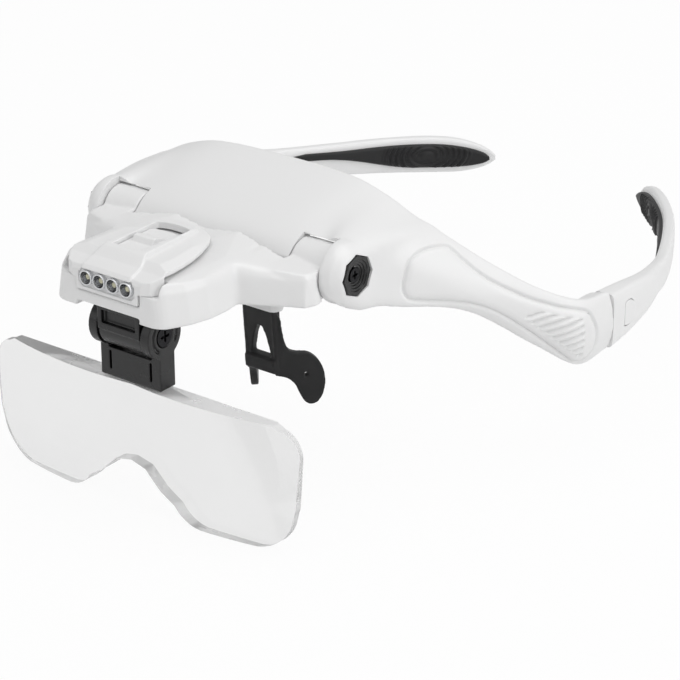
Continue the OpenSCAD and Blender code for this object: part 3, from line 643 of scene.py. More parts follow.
@dataclass
class VisorFrame:
    """The curved visor shell with its cheeks, wings and nose post."""

    half_w: float = 78.0
    seam_y: float = 58.0
    rim_y: float = 25.5
    crown_h: float = 14.4
    elbow: float = 31.8
    shell_t: float = 2.4
    seam_t: float = 6.4
    seam_h: float = 15.8
    seam_low: float = 1.4
    cheek_in: float = 35.2
    cheek_t: float = 5.5
    cheek_r: float = 8.0
    half: int = 9  # sections from the middle to a seam
    grid: tuple[int, int] = (104, 320)
    lining_grid: tuple[int, int] = (64, 9)
    face_share: float = 0.42  # share of the way round the wall that each of its faces takes
    edge_share: float = 0.08  # and each of its rounded edges
    notch_in: float = 24.3
    notch_y: float = 0.8
    lip_y: float = 7.0
    lip_z: float = 2.4
    rim_x: float = 20.0
    edge_r: float = 1.1
    panel_rise: float = 0.26
    groove_deep: float = 0.62
    groove_half: float = 0.42
    rib_pitch: float = 1.87
    rib_slope: float = 0.33
    rib_start: Pair = (42.0, -15.6)
    rib_high: float = 0.85
    rib_low: float = 0.55
    rib_y: tuple[float, ...] = (35.4, 36.2, 46.6, 47.4)
    rib_levels: tuple[float, ...] = (-0.75, -0.5, 7.5, 7.75)
    wing_x: float = 42.0
    wing_y: float = 9.0
    blend_in: Pair = (10.0, 17.0)
    flow_passes: int = 60
    voxel: float = 0.45
    seat_af: float = 10.0
    seat_x: Pair = (39.1, 52.7)
    barrel_r: float = 6.3
    barrel_gap: float = 0.5
    boss_r: float = 4.2
    boss_in: float = 22.5
    shank_r: float = 1.85
    shank_x: float = 47.2
    socket_x: Pair = (5.4, 2.6)
    socket_half: float = 4.6
    socket_deep: float = 9.3
    pad_half: float = 5.4
    pad_slot: float = 1.3
    pad_deep: float = 8.3
    pad_y: float = 13.6
    post_drop: float = 23.0
    post_w: float = 13.6
    post_t: float = 5.2
    panel: tuple[Pair, ...] = (
        (4.24, 0.21), (4.22, 0.36), (4.19, 0.52), (4.18, 0.64), (4.2, 0.75), (4.25, 0.86), (4.37, 0.86), (4.6, 0.81),
        (5.1, 0.69), (5.73, 0.66), (6.11, 0.69), (6.45, 0.73), (6.81, 0.78), (7.13, 0.77), (7.31, 0.66), (7.44, 0.49),
        (7.42, 0.28), (7.26, 0.14), (6.94, 0.05), (6.59, 0.1), (6.17, 0.15), (5.84, 0.2), (5.52, 0.23), (5.29, 0.23),
        (5.03, 0.19), (4.83, 0.15), (4.61, 0.11), (4.42, 0.1), (4.3, 0.12))

    def sections(self) -> Array:
        """Sections of the shell from one seam to the other, each from the lip to the rim.

        Returns:
            An array of sections, points and coordinates.
        """
        w, e, c, k = self.half_w, self.elbow, self.crown_h, self.cheek_in + self.cheek_t
        n, i, q, s = self.notch_in, self.cheek_in, self.seam_h / 4, self.seam_low - self.elbow
        near = np.array([
            [[0, -self.lip_y, self.lip_z], [0, -2.5, 6.2], [0, 6, 9.8], [0, 16, c - 1.8], [0, self.rim_y, c]],
            [[17, 0.4 - self.lip_y, self.lip_z - 0.2], [17.5, -2.3, 6.0], [18.5, 6, 9.6], [19.5, 16, c - 2.2],
             [self.rim_x, self.rim_y - 0.3, c - 0.5]],
            [[n + 4.7, 1.6 - self.lip_y, self.lip_z - 1.4], [n + 4.7, -1.6, 5.3], [n + 4.9, 6.5, 8.7],
             [n + 5.7, 16, c - 3.8], [n + 6.7, self.rim_y - 0.1, c - 3.2]],
            [[k - 2.4, 0.6, -9.8], [i + 0.6, -7.8, -2.2], [i + 1.0, -4.8, 6.0], [i + 2.6, 10, 7.9],
             [i + 4.1, self.rim_y + 1.2, c - 7.4]],
            [[k - 0.2, 4.4, -11.0], [k - 0.2, -2.2, -5.4], [k, 0.4, 3.6], [k + 1.0, 12, 5.9],
             [k + 2.4, self.rim_y + 2.5, 5.2]],
            [[k + 3.6, 9, -10.6], [k + 2.2, 9.0, -5.2], [k + 2.6, 12.4, 0.8], [k + 4.2, 20, 3.0],
             [k + 7, self.rim_y + 4.1, 2.2]],
            [[w - 23, 25, -14.5], [w - 22, 25, -11], [w - 21.4, 27, -8], [w - 21, 30.5, -5.5],
             [w - 20.8, self.rim_y + 9.1, -4.2]],
            [[w - 11.5, 38, 6.8 - e], [w - 10.5, 37.6, 11.3 - e], [w - 10.2, 38, 15.8 - e],
             [w - 10.4, 39.3, 19.6 - e], [w - 11, 40.6, 21.6 - e]],
            [[w - 3.8, 47, -e], [w - 2.6, 46.4, 4.8 - e], [w - 2.4, 46.4, 9.8 - e], [w - 3, 47.2, 14.8 - e],
             [w - 4, 48.5, 17.8 - e]],
            [[w - 1.5, self.seam_y, s], [w - 0.3, self.seam_y, s + q], [w, self.seam_y, s + 2 * q],
             [w - 0.5, self.seam_y, s + 3 * q], [w - 1.7, self.seam_y, s + 4 * q]]], float)
        return np.concatenate([near[:0:-1] * [-1, 1, 1], near])

    def skin(self, u: Array, v: Array) -> Array:
        """Points on the outer skin, u counted in sections and v from 0 at the lip to 1 at the rim."""
        return on_net(self.sections(), u, 4 * v)

    def skin_normal(self, u: Array, v: Array) -> Array:
        """Outward directions of the skin."""
        top = 2.0 * self.half
        u0, u1 = np.clip(u - 0.02, 0, top), np.clip(u + 0.02, 0, top)
        v0, v1 = np.clip(v - 0.02, 0, 1), np.clip(v + 0.02, 0, 1)
        return unit(np.cross(self.skin(u1, v) - self.skin(u0, v), self.skin(u, v1) - self.skin(u, v0)))

    def wall(self, u: Array) -> Array:
        """Thickness of the wall, which grows over the last three sections before a seam."""
        far = np.maximum(0, (np.abs(u - self.half) - self.half + 3) / 3)
        return self.shell_t + (self.seam_t - self.shell_t) * far * far * (3 - 2 * far)

    def lining(self) -> Array:
        """The inner skin on a coarse grid, so that it stays calm.

        Returns:
            An array of stations, points and coordinates.
        """
        stations, places = self.lining_grid
        u, v = (g.ravel() for g in np.meshgrid(np.linspace(0, 2 * self.half, stations),
                                               np.linspace(0, 1, places), indexing="ij"))
        made = self.skin(u, v) - self.wall(u)[:, None] * self.skin_normal(u, v)
        made[:, 1] = np.minimum(made[:, 1], self.seam_y)
        return made.reshape(stations, places, 3)

    def ring_point(self, along: Array, around: Array) -> Array:
        """Points of the closed wall: outer skin, rounded rim, inner skin and rounded lip.

        Args:
            along: Share from one seam to the other.
            around: Share round the wall.

        Returns:
            The points.
        """
        u, lining = along * 2 * self.half, self.lining()
        stations, places = self.lining_grid
        face, edge = self.face_share, self.edge_share

        def inner(v: Array) -> Array:
            """Points on the inner skin."""
            return on_net(lining, (stations - 1) / (2 * self.half) * u, (places - 1) * v)

        ones, zeros = np.ones_like(u), np.zeros_like(u)
        height = np.linalg.norm(self.skin(u, ones) - self.skin(u, zeros), axis=1)
        r = np.minimum(self.wall(u) / 2 - 0.05, self.edge_r)
        step = r / height
        out_v = step + (1 - 2 * step) * np.clip(around / face, 0, 1)
        in_v = 1 - step - (1 - 2 * step) * np.clip((around - 0.5) / face, 0, 1)
        rim = rounded(self.skin(u, 1 - step), self.skin(u, ones), inner(ones), inner(1 - step), r,
                      np.clip((around - face) / edge, 0, 1))
        lip = rounded(inner(step), inner(zeros), self.skin(u, zeros), self.skin(u, step), r,
                      np.clip((around - 0.5 - face) / edge, 0, 1))
        part = around[:, None]
        return np.where(part < face, self.skin(u, out_v),
                        np.where(part < 0.5, rim, np.where(part < 0.5 + face, inner(in_v), lip)))

    def outline(self) -> Array:
        """The grip panel's outline on the right wing.

        Returns:
            A close row of points.
        """
        places = np.array(self.panel)
        wide = np.concatenate([places[-2:], places, places[:3]])
        uv = curve_through(wide, 2 + np.arange(0, len(places), 0.125))
        return self.skin(self.half + 1 + uv[:, 0], uv[:, 1])

    def cheeks(self) -> Bm:
        """The two round cheeks that carry the pivots, well rounded at their outer edge.

        Returns:
            Both as one closed bmesh.
        """
        shape, r, root = bmesh.new(), self.cheek_r, -0.2
        steps = [(root, 0), (1.6, 0.05), (2.6, 0.3), (3.5, 0.75), (4.3, 1.35), (4.9, 1.85), (self.cheek_t, 2.3)]
        for s in (-1, 1):
            for (near, less), (far, more) in zip(steps, steps[1:]):
                one, two = (r - less, r - more)[::s]
                rod(one, *span(s, self.cheek_in + near, self.cheek_in + far), end_radius=two, shape=shape)
        bmesh.ops.remove_doubles(shape, verts=shape.verts, dist=WELD)
        ends = [self.cheek_in + root, self.cheek_in + self.cheek_t]
        inner = [f for f in shape.faces if len(f.verts) > 4
                 and not any(abs(abs(f.calc_center_median().x) - x) < 1e-3 for x in ends)]
        bmesh.ops.delete(shape, geom=inner, context="FACES_ONLY")
        return shape

    def post(self) -> Bm:
        """The post under the crown that takes the nose pad.

        Returns:
            The closed bmesh, with its upright edges rounded.
        """
        shape = box((-self.post_w / 2, self.pad_y - self.post_t / 2, -self.post_drop),
                    (self.post_w / 2, self.pad_y + self.post_t / 2, self.crown_h - 4.1))
        upright = [e for e in shape.edges if abs((e.verts[0].co - e.verts[1].co).z) > 1]
        bmesh.ops.bevel(shape, geom=upright, offset=self.post_t / 2 - 0.1, segments=10, profile=0.5,
                        affect="EDGES", material=-1)
        return shape

    def openings(self) -> list[Bm]:
        """Everything that is cut out: notches, bores, cap seats, leg sockets and the pad's socket.

        Returns:
            One closed bmesh for each cut.
        """
        cuts, z = [], self.seam_low - self.elbow + self.seam_h / 2
        for s in (-1, 1):
            low, high = span(s, self.notch_in, self.cheek_in)
            near, far = span(s, *(self.half_w - x for x in self.socket_x))
            cuts += [box((low, -20, -20), (high, self.notch_y, 20)),
                     rod(self.barrel_r + self.barrel_gap, low, high),
                     rod(self.boss_r, *span(s, self.boss_in, self.notch_in + 0.01), 48),
                     rod(self.seat_af / 2 / OCTAGON, *span(s, *self.seat_x), 8),
                     rod(self.shank_r, *span(s, self.notch_in, self.shank_x), 48),
                     box((near, self.seam_y - self.socket_deep, z - self.socket_half),
                         (far, self.seam_y + 1, z + self.socket_half))]
        return [*cuts, box((-self.pad_half, self.pad_y - self.pad_slot, -self.post_drop - 1),
                           (self.pad_half, self.pad_y + self.pad_slot, -self.post_drop + self.pad_deep))]

    def grip_place(self, points: Array) -> tuple[Array, Array, Array]:
        """Places of points in relation to the grip panel.

        Args:
            points: Points on the wings, both turned to the right side.

        Returns:
            The distance inside the outline, the rib level and the share of the rib field.
        """
        within = inside_by(self.outline(), points)
        level = self.rib_slope * (points[:, 1] - self.rib_start[0]) + self.rib_start[1] - points[:, 2]
        level /= self.rib_pitch
        field = ease(within, 1.9, 2.6) * band(points[:, 1], *self.rib_y) * band(level, *self.rib_levels)
        return within, level, field

    def wing_points(self, piece: Piece) -> tuple[Array, Array, Array]:
        """Finds the outer points of both wings.

        Args:
            piece: The shell.

        Returns:
            Their numbers, their places turned to the right side and their normals.
        """
        points, normals = points_of(piece), normals_of(piece)
        side = np.sign(points[:, 0])
        on_wing = (points[:, 1] > self.wing_y) & (np.abs(points[:, 0]) > self.wing_x)
        chosen = np.nonzero(on_wing & (normals[:, 0] * side > 0.25))[0]
        turned = points[chosen]
        turned[:, 0] = np.abs(turned[:, 0])
        return chosen, turned, normals[chosen]

    def relief(self, piece: Piece) -> None:
        """Presses the grip panel's outline and its ribs into both wings.

        Args:
            piece: The shell.
        """
        chosen, turned, _ = self.wing_points(piece)
        within, _, field = self.grip_place(turned)
        fine = set(chosen[(np.abs(within) < 1.6) | (field > 0)].tolist())
        mesh = bmesh.new()
        mesh.from_mesh(piece.data)
        edges = [e for e in mesh.edges if e.verts[0].index in fine and e.verts[1].index in fine]
        bmesh.ops.subdivide_edges(mesh, edges=edges, cuts=1, use_grid_fill=True)
        mesh.to_mesh(piece.data)
        mesh.free()
        chosen, turned, normals = self.wing_points(piece)
        within, level, field = self.grip_place(turned)
        ribs = 0.5 + 0.5 * np.cos(2 * math.pi * level)
        height = (self.panel_rise * ease(within, 0.2, 1.9)
                  - self.groove_deep * np.exp(-(within / self.groove_half) ** 2)
                  + field * (self.rib_high * ribs ** 0.7 - self.rib_low))
        points = points_of(piece)
        points[chosen] += normals * height[:, None]
        move_points(piece, points)

    def blend_cheeks(self, piece: Piece) -> None:
        """Flows the cheeks into the wings, as the mould does.

        Args:
            piece: The shell.
        """
        points = points_of(piece)
        away = np.linalg.norm(points[:, 1:] - [2.0, 0.0], axis=1)
        outer = np.abs(points[:, 0]) > self.cheek_in + 3.2
        flow(piece, outer * (1 - ease(away, *self.blend_in)), self.flow_passes)

    def build(self) -> Piece:
        """Builds the whole frame.

        Returns:
            The piece that stands for main_frame.
        """
        shell = piece_from("visor_frame", mapped_grid(*self.grid, self.ring_point))
        combine(shell, self.cheeks(), Join.ADD)
        combine(shell, self.post(), Join.ADD)
        moulded(shell, self.voxel, 2)
        self.blend_cheeks(shell)
        self.relief(shell)
        for opening in self.openings():
            combine(shell, opening, Join.CUT)
        shade(shell, 34.0)
        return fit(shell, "frame", WHITE_ABS, "main_frame")


# ---- pivots


@dataclass
class Pivots:
    """Caps, screws, washers and nuts of the tilt axis."""

    voxel: float = 0.1
    cap_af: float = 9.6
    cap_x: float = 39.3
    face_x: float = 40.9
    rings: tuple[Pair, ...] = ((3.95, 0.35), (3.3, 0.75), (2.7, 1.15), (2.15, 2.4))
    head_share: float = 0.64
    head_sunk: float = 1.0

    def cap(self, side: Side) -> Piece:
        """Builds an octagonal cap whose recess goes down in rings round the screw.

        Args:
            side: Its side.

        Returns:
            The cap.
        """
        body = rod(self.cap_af / 2 / OCTAGON, *span(side.value, self.cap_x + 0.02, self.face_x), 8)
        cap = piece_from(f"pivot_cap_{side.word}_octagon", body)
        for radius, depth in self.rings:
            combine(cap, rod(radius, *span(side.value, self.face_x - depth, self.face_x + 1)), Join.CUT)
        moulded(cap, self.voxel, 1, 40.0)
        return fit(cap, "frame", BLACK_ABS, f"pivot_cap_{side.word}")

    def build(self) -> list[Piece]:
        """Dresses the pivots of both sides.

        Returns:
            The new pieces.
        """
        made = []
        for side in Side:
            made.append(self.cap(side))
            screw = copy_of(f"pivot_screw_{side.word}", f"pivot_screw_{side.word}_head")
            points = points_of(screw)
            move_points(screw, points * [1, self.head_share, self.head_share] - [self.head_sunk * side.value, 0, 0])
            made.append(fit(moulded(screw, 0.08, 1), "frame", BLACK_STEEL, f"pivot_screw_{side.word}"))
            ZINC_STEEL.dress(frame["nodes"][f"pivot_washer_{side.word}"], frame["nodes"][f"pivot_nut_{side.word}"])
        return made


# ---- bracket and lamp


@dataclass
class FrontBracket:
    """The tilting bracket that carries the lamp and the lens hinge."""

    voxel: float = 0.34
    passes: int = 5
    barrel_r: float = 6.2
    bore_r: float = 2.0
    lip_r: float = 8.5
    barrel_x: Pair = (24.7, 34.9)
    flow_x: tuple[float, ...] = (15.6, 18.5, 25.0, 28.0)
    flow_y: tuple[float, ...] = (-31.0, -26.0, -13.5, -10.5)
    flow_z: Pair = (-5.2, -3.4)
    flow_passes: int = 90

    def build(self) -> Piece:
        """Builds the bracket with its moulded edges, its arms drawn out to the slim cheeks.

        Returns:
            The piece that stands for front_bracket.
        """
        made = copy_of("front_bracket", "bracket_shell")
        points = points_of(made)
        wide = np.interp(np.abs(points[:, 0]), [0, 18, 26.3, 32.7, 60], [0, 18, *self.barrel_x, 62.2])
        points[:, 0] = np.sign(points[:, 0]) * wide
        move_points(made, points)
        barrels, bore = bmesh.new(), bmesh.new()
        for s in (-1, 1):
            low, high = span(s, *self.barrel_x)
            rod(self.barrel_r, low, high, shape=barrels)
            rod(self.bore_r, low - 1, high + 1, shape=bore)
        combine(made, barrels, Join.ADD)
        combine(made, bore, Join.CUT)
        moulded(made, self.voxel, self.passes)
        points = points_of(made)
        weight = (band(np.abs(points[:, 0]), *self.flow_x) * band(points[:, 1], *self.flow_y)
                  * ease(points[:, 2], *self.flow_z))
        flow(made, weight, self.flow_passes)
        lip_x = self.barrel_x[0] - 0.2
        combine(made, rod(self.lip_r, -lip_x, lip_x, 160), Join.CUT)
        shade(made, 50.0)
        return fit(made, "bracket", WHITE_ABS, "front_bracket")


@dataclass
class Lamp:
    """The sliding lamp: cover, tub, switch, diodes and what is inside."""

    front: float = 44.2
    back: float = 12.2
    half_w: float = 14.6
    nose_w: float = 9.5
    top: float = 9.2
    seat: float = 6.15
    shelf: float = 1.9
    base: float = -1.1
    wall: float = 1.2
    pitch: float = 4.13
    led_z: float = 2.4
    led_r: float = 1.5
    voxel: float = 0.19
    switch_y: float = -28.3
    switch_w: float = 8.4
    switch_len: float = 14.6
    switch_low: float = 0.9
    flange_t: float = 0.6
    flange_gap: float = 0.15
    socket_r: float = 1.75
    travel: float = 3.0
    count: int = 4

    def plan(self, inset: float) -> Outline:
        """Outline of the lamp from above, widest near the front and round at the back."""
        w, b, g = self.half_w - inset, -self.back - inset, inset - self.front
        return mirrored([(0, g), (self.nose_w - inset / 2, g), (w - 1.8, g + 1.6), (w - 0.2, g + 4), (w, g + 8),
                         (w - 0.4, g + 12), (w - 1.1, g + 16.4), (w - 2.3, b - 11.2), (w - 4.4, b - 6),
                         (w - 6.4, b - 3), (w - 9.8, b - 0.9), (w - 12.3, b - 0.2), (0, b)])

    def side(self, inset: float) -> Outline:
        """Outline of the lamp from the side: upright front, slope over the diodes, level top, falling back."""
        g, b, t = -self.front, -self.back, self.top - inset
        edge = g + max(0.0, inset)
        return [(edge, -10), (edge, 4.6 - inset), (g + 1, 5.7 - inset), (g + 4.4, 6.9 - inset), (g + 7, t - 0.5),
                (g + 8.3, t), (b - 7, t), (b + 2, t - 1.4), (b + 2, -10)]

    def tongue(self, inset: float) -> Outline:
        """Outline of the raised panel that carries the switch and runs down to the diodes."""
        g, b = -self.front, -self.back
        return mirrored([(0, g - 1), (7.6 - inset, g - 1), (7.4 - inset, g + 4), (6.9 - inset, g + 9),
                         (6.6 - inset, b - 9), (5.9 - inset, b - 4.6), (4 - inset, b - 2.2),
                         (0, b - 1.6 - inset / 2)])

    def switch_plan(self, grow: float, reach: float) -> Outline:
        """Outline of the switch, grown all round and drawn out backwards, bowed at the back."""
        w, n = self.switch_w / 2 + grow, self.switch_len / 2 + grow
        y = self.switch_y + n + reach
        return mirrored([(0, self.switch_y - n), (w, self.switch_y - n), (w + 0.5, y - 1.2), (w - 0.9, y - 0.4),
                         (w - 2.4, y - 0.1), (0, y)])

    def hull(self, inset: float, low: float) -> Piece:
        """The lamp's outer form at an inset.

        Args:
            inset: How far inside the outer form.
            low: How far the level parts stay under the raised panel.

        Returns:
            A closed piece.
        """
        top, g = self.top - inset, -self.front
        made = piece_from("lamp_shell", hull_of((self.plan(inset), self.seat, self.seat + 1),
                                                (self.plan(inset + 0.8), top - 2.2, top - 2.1),
                                                (self.plan(inset + 3), top - 1.2, top - 1.1)))
        edge = [(x, min(y, g + 5)) for x, y in self.plan(inset)[:4]]
        shoulders = mirrored([*edge, (edge[-1][0], g + 5), (0, g + 5)])
        combine(made, prism(shoulders, self.shelf, self.seat + 0.6), Join.ADD)
        combine(made, box((inset - self.nose_w, inset + g, self.base),
                          (self.nose_w - inset, g + 5, self.seat + 0.9)), Join.ADD)
        combine(made, prism(self.side(inset + low), -FAR, FAR, along_x=True), Join.KEEP)
        return made

    def cover(self) -> Piece:
        """Builds the cover with its raised panel, its openings and its moulded edges.

        Returns:
            The piece that stands for lamp_cover.
        """
        g = -self.front
        made = self.hull(0.0, 0.5)
        panel = piece_from("lamp_panel", hull_of((self.tongue(0), self.led_z, self.led_z + 4.6),
                                                 (self.tongue(1), self.top - 0.1, self.top)))
        combine(panel, prism(self.side(0), -FAR, FAR, along_x=True), Join.KEEP)
        combine(made, taken(panel), Join.ADD)
        z, deep, w = self.led_z, self.flange(), self.switch_w / 2 + 0.9
        recess = prism(mirrored([(0, z - 2.5), (7.6, z - 2.5), (8.7, z - 1.4), (8.7, z + 0.9), (7.6, z + 2.2),
                                 (0, z + 2.2)]), 0, 5)
        turn = Matrix.Translation((0, g + 1.2, 0)) @ Matrix.Rotation(math.pi / 2, 4, "X")
        bmesh.ops.transform(recess, matrix=turn, verts=recess.verts)
        inside = self.hull(self.wall, 0.0)
        combine(inside, box((-FAR, g + self.wall + 3, -20), (FAR, FAR, FAR)), Join.KEEP)
        run_back = self.switch_y + self.switch_len / 2 + 2 * self.travel + 1.25
        sockets = bmesh.new()
        for index in range(self.count):
            bmesh.ops.create_cone(sockets, cap_ends=True, segments=48, radius1=self.socket_r,
                                  radius2=self.socket_r, depth=8,
                                  matrix=self.at_led(index) @ Matrix.Translation((0, 0, 3)))
        cuts = {"recess before the diodes": recess,
                "inside": taken(inside),
                "open underside": box((-FAR, g + 5, -20), (FAR, FAR, self.seat)),
                "switch opening": prism(self.switch_plan(0.3, self.travel), self.top - 4, self.top + 6),
                "room for the switch's flange": box((-w, self.switch_y, deep - 0.9), (w, run_back, deep + 0.25)),
                "slot under the diodes": box((-7.9, g - 1, self.base + 0.2), (-4.4, g + 0.7, self.base + 0.62)),
                "sockets of the diodes": sockets}
        for cut in cuts.values():
            combine(made, cut, Join.CUT)
        moulded(made, self.voxel, 3)
        return fit(made, "lamp", WHITE_ABS, "lamp_cover")

    def flange(self) -> float:
        """Height of the top of the switch's flange, just under the cover's wall."""
        return self.top - 1.2 - self.wall - self.flange_gap

    def slider(self) -> Piece:
        """Builds the switch's slider: a plate with a thumb bar over a longer flange.

        Returns:
            The piece that stands for switch_slider.
        """
        z, y, w, n = self.top - self.switch_low, self.switch_y, self.switch_w / 2, self.switch_len / 2
        flange = self.flange()
        made = piece_from("switch_plate", prism(self.switch_plan(0, 0), flange - 0.3, z))
        bar = prism([(y - 2.3, z - 0.3), (y - 2.3, z + 0.2), (y - 1.6, z + 1.3), (y - 0.6, z + 1.5),
                     (y + 2.8, z + 0.3), (y + 3, z - 0.3)], 1 - w, w - 1, along_x=True)
        combine(made, bar, Join.ADD)
        combine(made, box((-w - 0.6, y - n - 2.5, flange - self.flange_t),
                          (w + 0.6, y + n + self.travel + 0.9, flange)), Join.ADD)
        moulded(made, 0.15, 2)
        return fit(made, "switch", WHITE_ABS, "switch_slider")

    def at_led(self, index: int) -> Matrix:
        """Puts a form built on +Z at a diode's place, with its dome to the front."""
        x = (index - (self.count - 1) / 2) * self.pitch
        return Matrix.Translation((x, 0.2 - self.front, self.led_z)) @ Matrix.Rotation(-math.pi / 2, 4, "X")

    def spun(self, name: str, profile: Outline) -> Piece:
        """Spins one profile at each of the diodes.

        Args:
            name: The piece's name.
            profile: Radius and depth behind the dome's front, from axis to axis.

        Returns:
            The piece.
        """
        shape = bmesh.new()
        for index in range(self.count):
            start = [shape.verts.new((r, 0, z)) for r, z in profile]
            edges = [shape.edges.new(pair) for pair in zip(start, start[1:])]
            bmesh.ops.spin(shape, geom=start + edges, cent=(0, 0, 0), axis=(0, 0, 1), dvec=(0, 0, 0),
                           angle=2 * math.pi, steps=40, use_merge=True, use_duplicate=False)
            fresh = [v for v in shape.verts if not v.tag]
            bmesh.ops.transform(shape, matrix=self.at_led(index), verts=fresh)
            for v in fresh:
                v.tag = True
        bmesh.ops.remove_doubles(shape, verts=shape.verts, dist=WELD)
        bmesh.ops.recalc_face_normals(shape, faces=shape.faces)
        return piece_from(name, shape, 40.0)

    def diodes(self) -> list[Piece]:
        """Clear domes with a silvered cup, darkened as painted shade, and a phosphor spot inside, each in a bright
        collar.

        Returns:
            The four pieces.
        """
        r, foot = self.led_r, 2.9
        dome = [(r * math.sin(a), r * (1 - math.cos(a)) - 0.7) for a in np.linspace(0, math.pi / 2, 14)]
        body = self.spun("diode_domes", dome + [(r, foot), (0, foot)])
        cup = self.spun("diode_cups", [(0, 1.1), (0.4, 1.1), (1.0, 0.4), (1.25, 0.4), (1.25, 2.4), (0, 2.4)])
        spot = self.spun("diode_spots", [(0, 0.8), (0.36, 0.8), (0.42, 0.88), (0.42, 1.08), (0, 1.08)])
        collar = self.spun("diode_collars", [(1.52, 0.0), (1.57, -0.1), (1.86, -0.1), (1.95, 0.05), (1.95, 3.2),
                                             (1.52, 3.2), (1.52, 0.0)])
        # The cups' mid grey metal is painted shade inside the diodes.
        return [fit(body, "lamp", CLEAR_EPOXY, "leds"), fit(cup, "lamp", CUP_SILVER_PAINTED_SHADE), fit(spot, "lamp", PHOSPHOR),
                fit(collar, "lamp", COLLAR_CHROME)]

    def build(self) -> list[Piece]:
        """Builds the whole lamp.

        Returns:
            The new pieces.
        """
        nodes = frame["nodes"]
        SATIN_ABS.dress(nodes["lamp_base"])
        BOARD_EPOXY.dress(nodes["circuit_board"])
        CELL_STEEL.dress(nodes["button_cells"])
        BRONZE.dress(nodes["contact_spring"], nodes["contact_strip"])
        BLACK_STEEL.dress(nodes["lamp_screws"])
        return [self.cover(), self.slider(), *self.diodes()]


# ---- lens hinge and lens


@dataclass
class LensHinge:
    """The black clip under the bracket and the holder that flips on it."""

    voxel: float = 0.17

    def build(self) -> list[Piece]:
        """Dresses the hinge.

        Returns:
            The new pieces.
        """
        nodes = frame["nodes"]
        ZINC_STEEL.dress(nodes["hinge_washers"], nodes["hinge_nut"], nodes["clip_screws"])
        return [soft_edged("hinge_clip", "bracket", BLACK_NYLON, self.voxel, 2),
                soft_edged("lens_holder", "holder", BLACK_NYLON, self.voxel, 2),
                soft_edged("hinge_screw", "holder", BLACK_STEEL, 0.11, 1)]


@dataclass
class MagnifierLens:
    """The clear double lens."""

    edge_share: float = 0.5

    def build(self) -> Piece:
        """Dresses the lens.

        Returns:
            The piece that stands for lens.
        """
        made = copy_of("lens", "lens_clear")
        shade(made, 20.0)
        fit(made, "lens", ACRYLIC, "lens")
        made.data.materials.append(ACRYLIC_EDGE.material())
        for face in made.data.polygons:
            face.material_index = int(abs(face.normal.y) < self.edge_share)
        return made


# ---- soft parts


@dataclass
class NosePad:
    """The soft nose pad with its neck, window and two wings."""

    voxel: float = 0.26
    passes: int = 9
    neck_low: Pair = (30.0, 38.0)
    neck_up: float = 1.4
    neck_half: float = 5.3
    neck_wider: float = 0.1

    def build(self) -> Piece:
        """Builds the pad.

        Returns:
            The piece that stands for nose_pad.
        """
        made = copy_of("nose_pad", "nose_pad_soft")
        points = points_of(made)
        neck = 1 - ease(-points[:, 2], *self.neck_low)
        points[:, 2] += self.neck_up * neck
        points[:, 0] *= 1 + self.neck_wider * (np.abs(points[:, 0]) > self.neck_half) * neck
        move_points(made, points)
        moulded(made, self.voxel, self.passes)
        fit(made, "nose_pad", SOFT_RUBBER, "nose_pad")
        return made


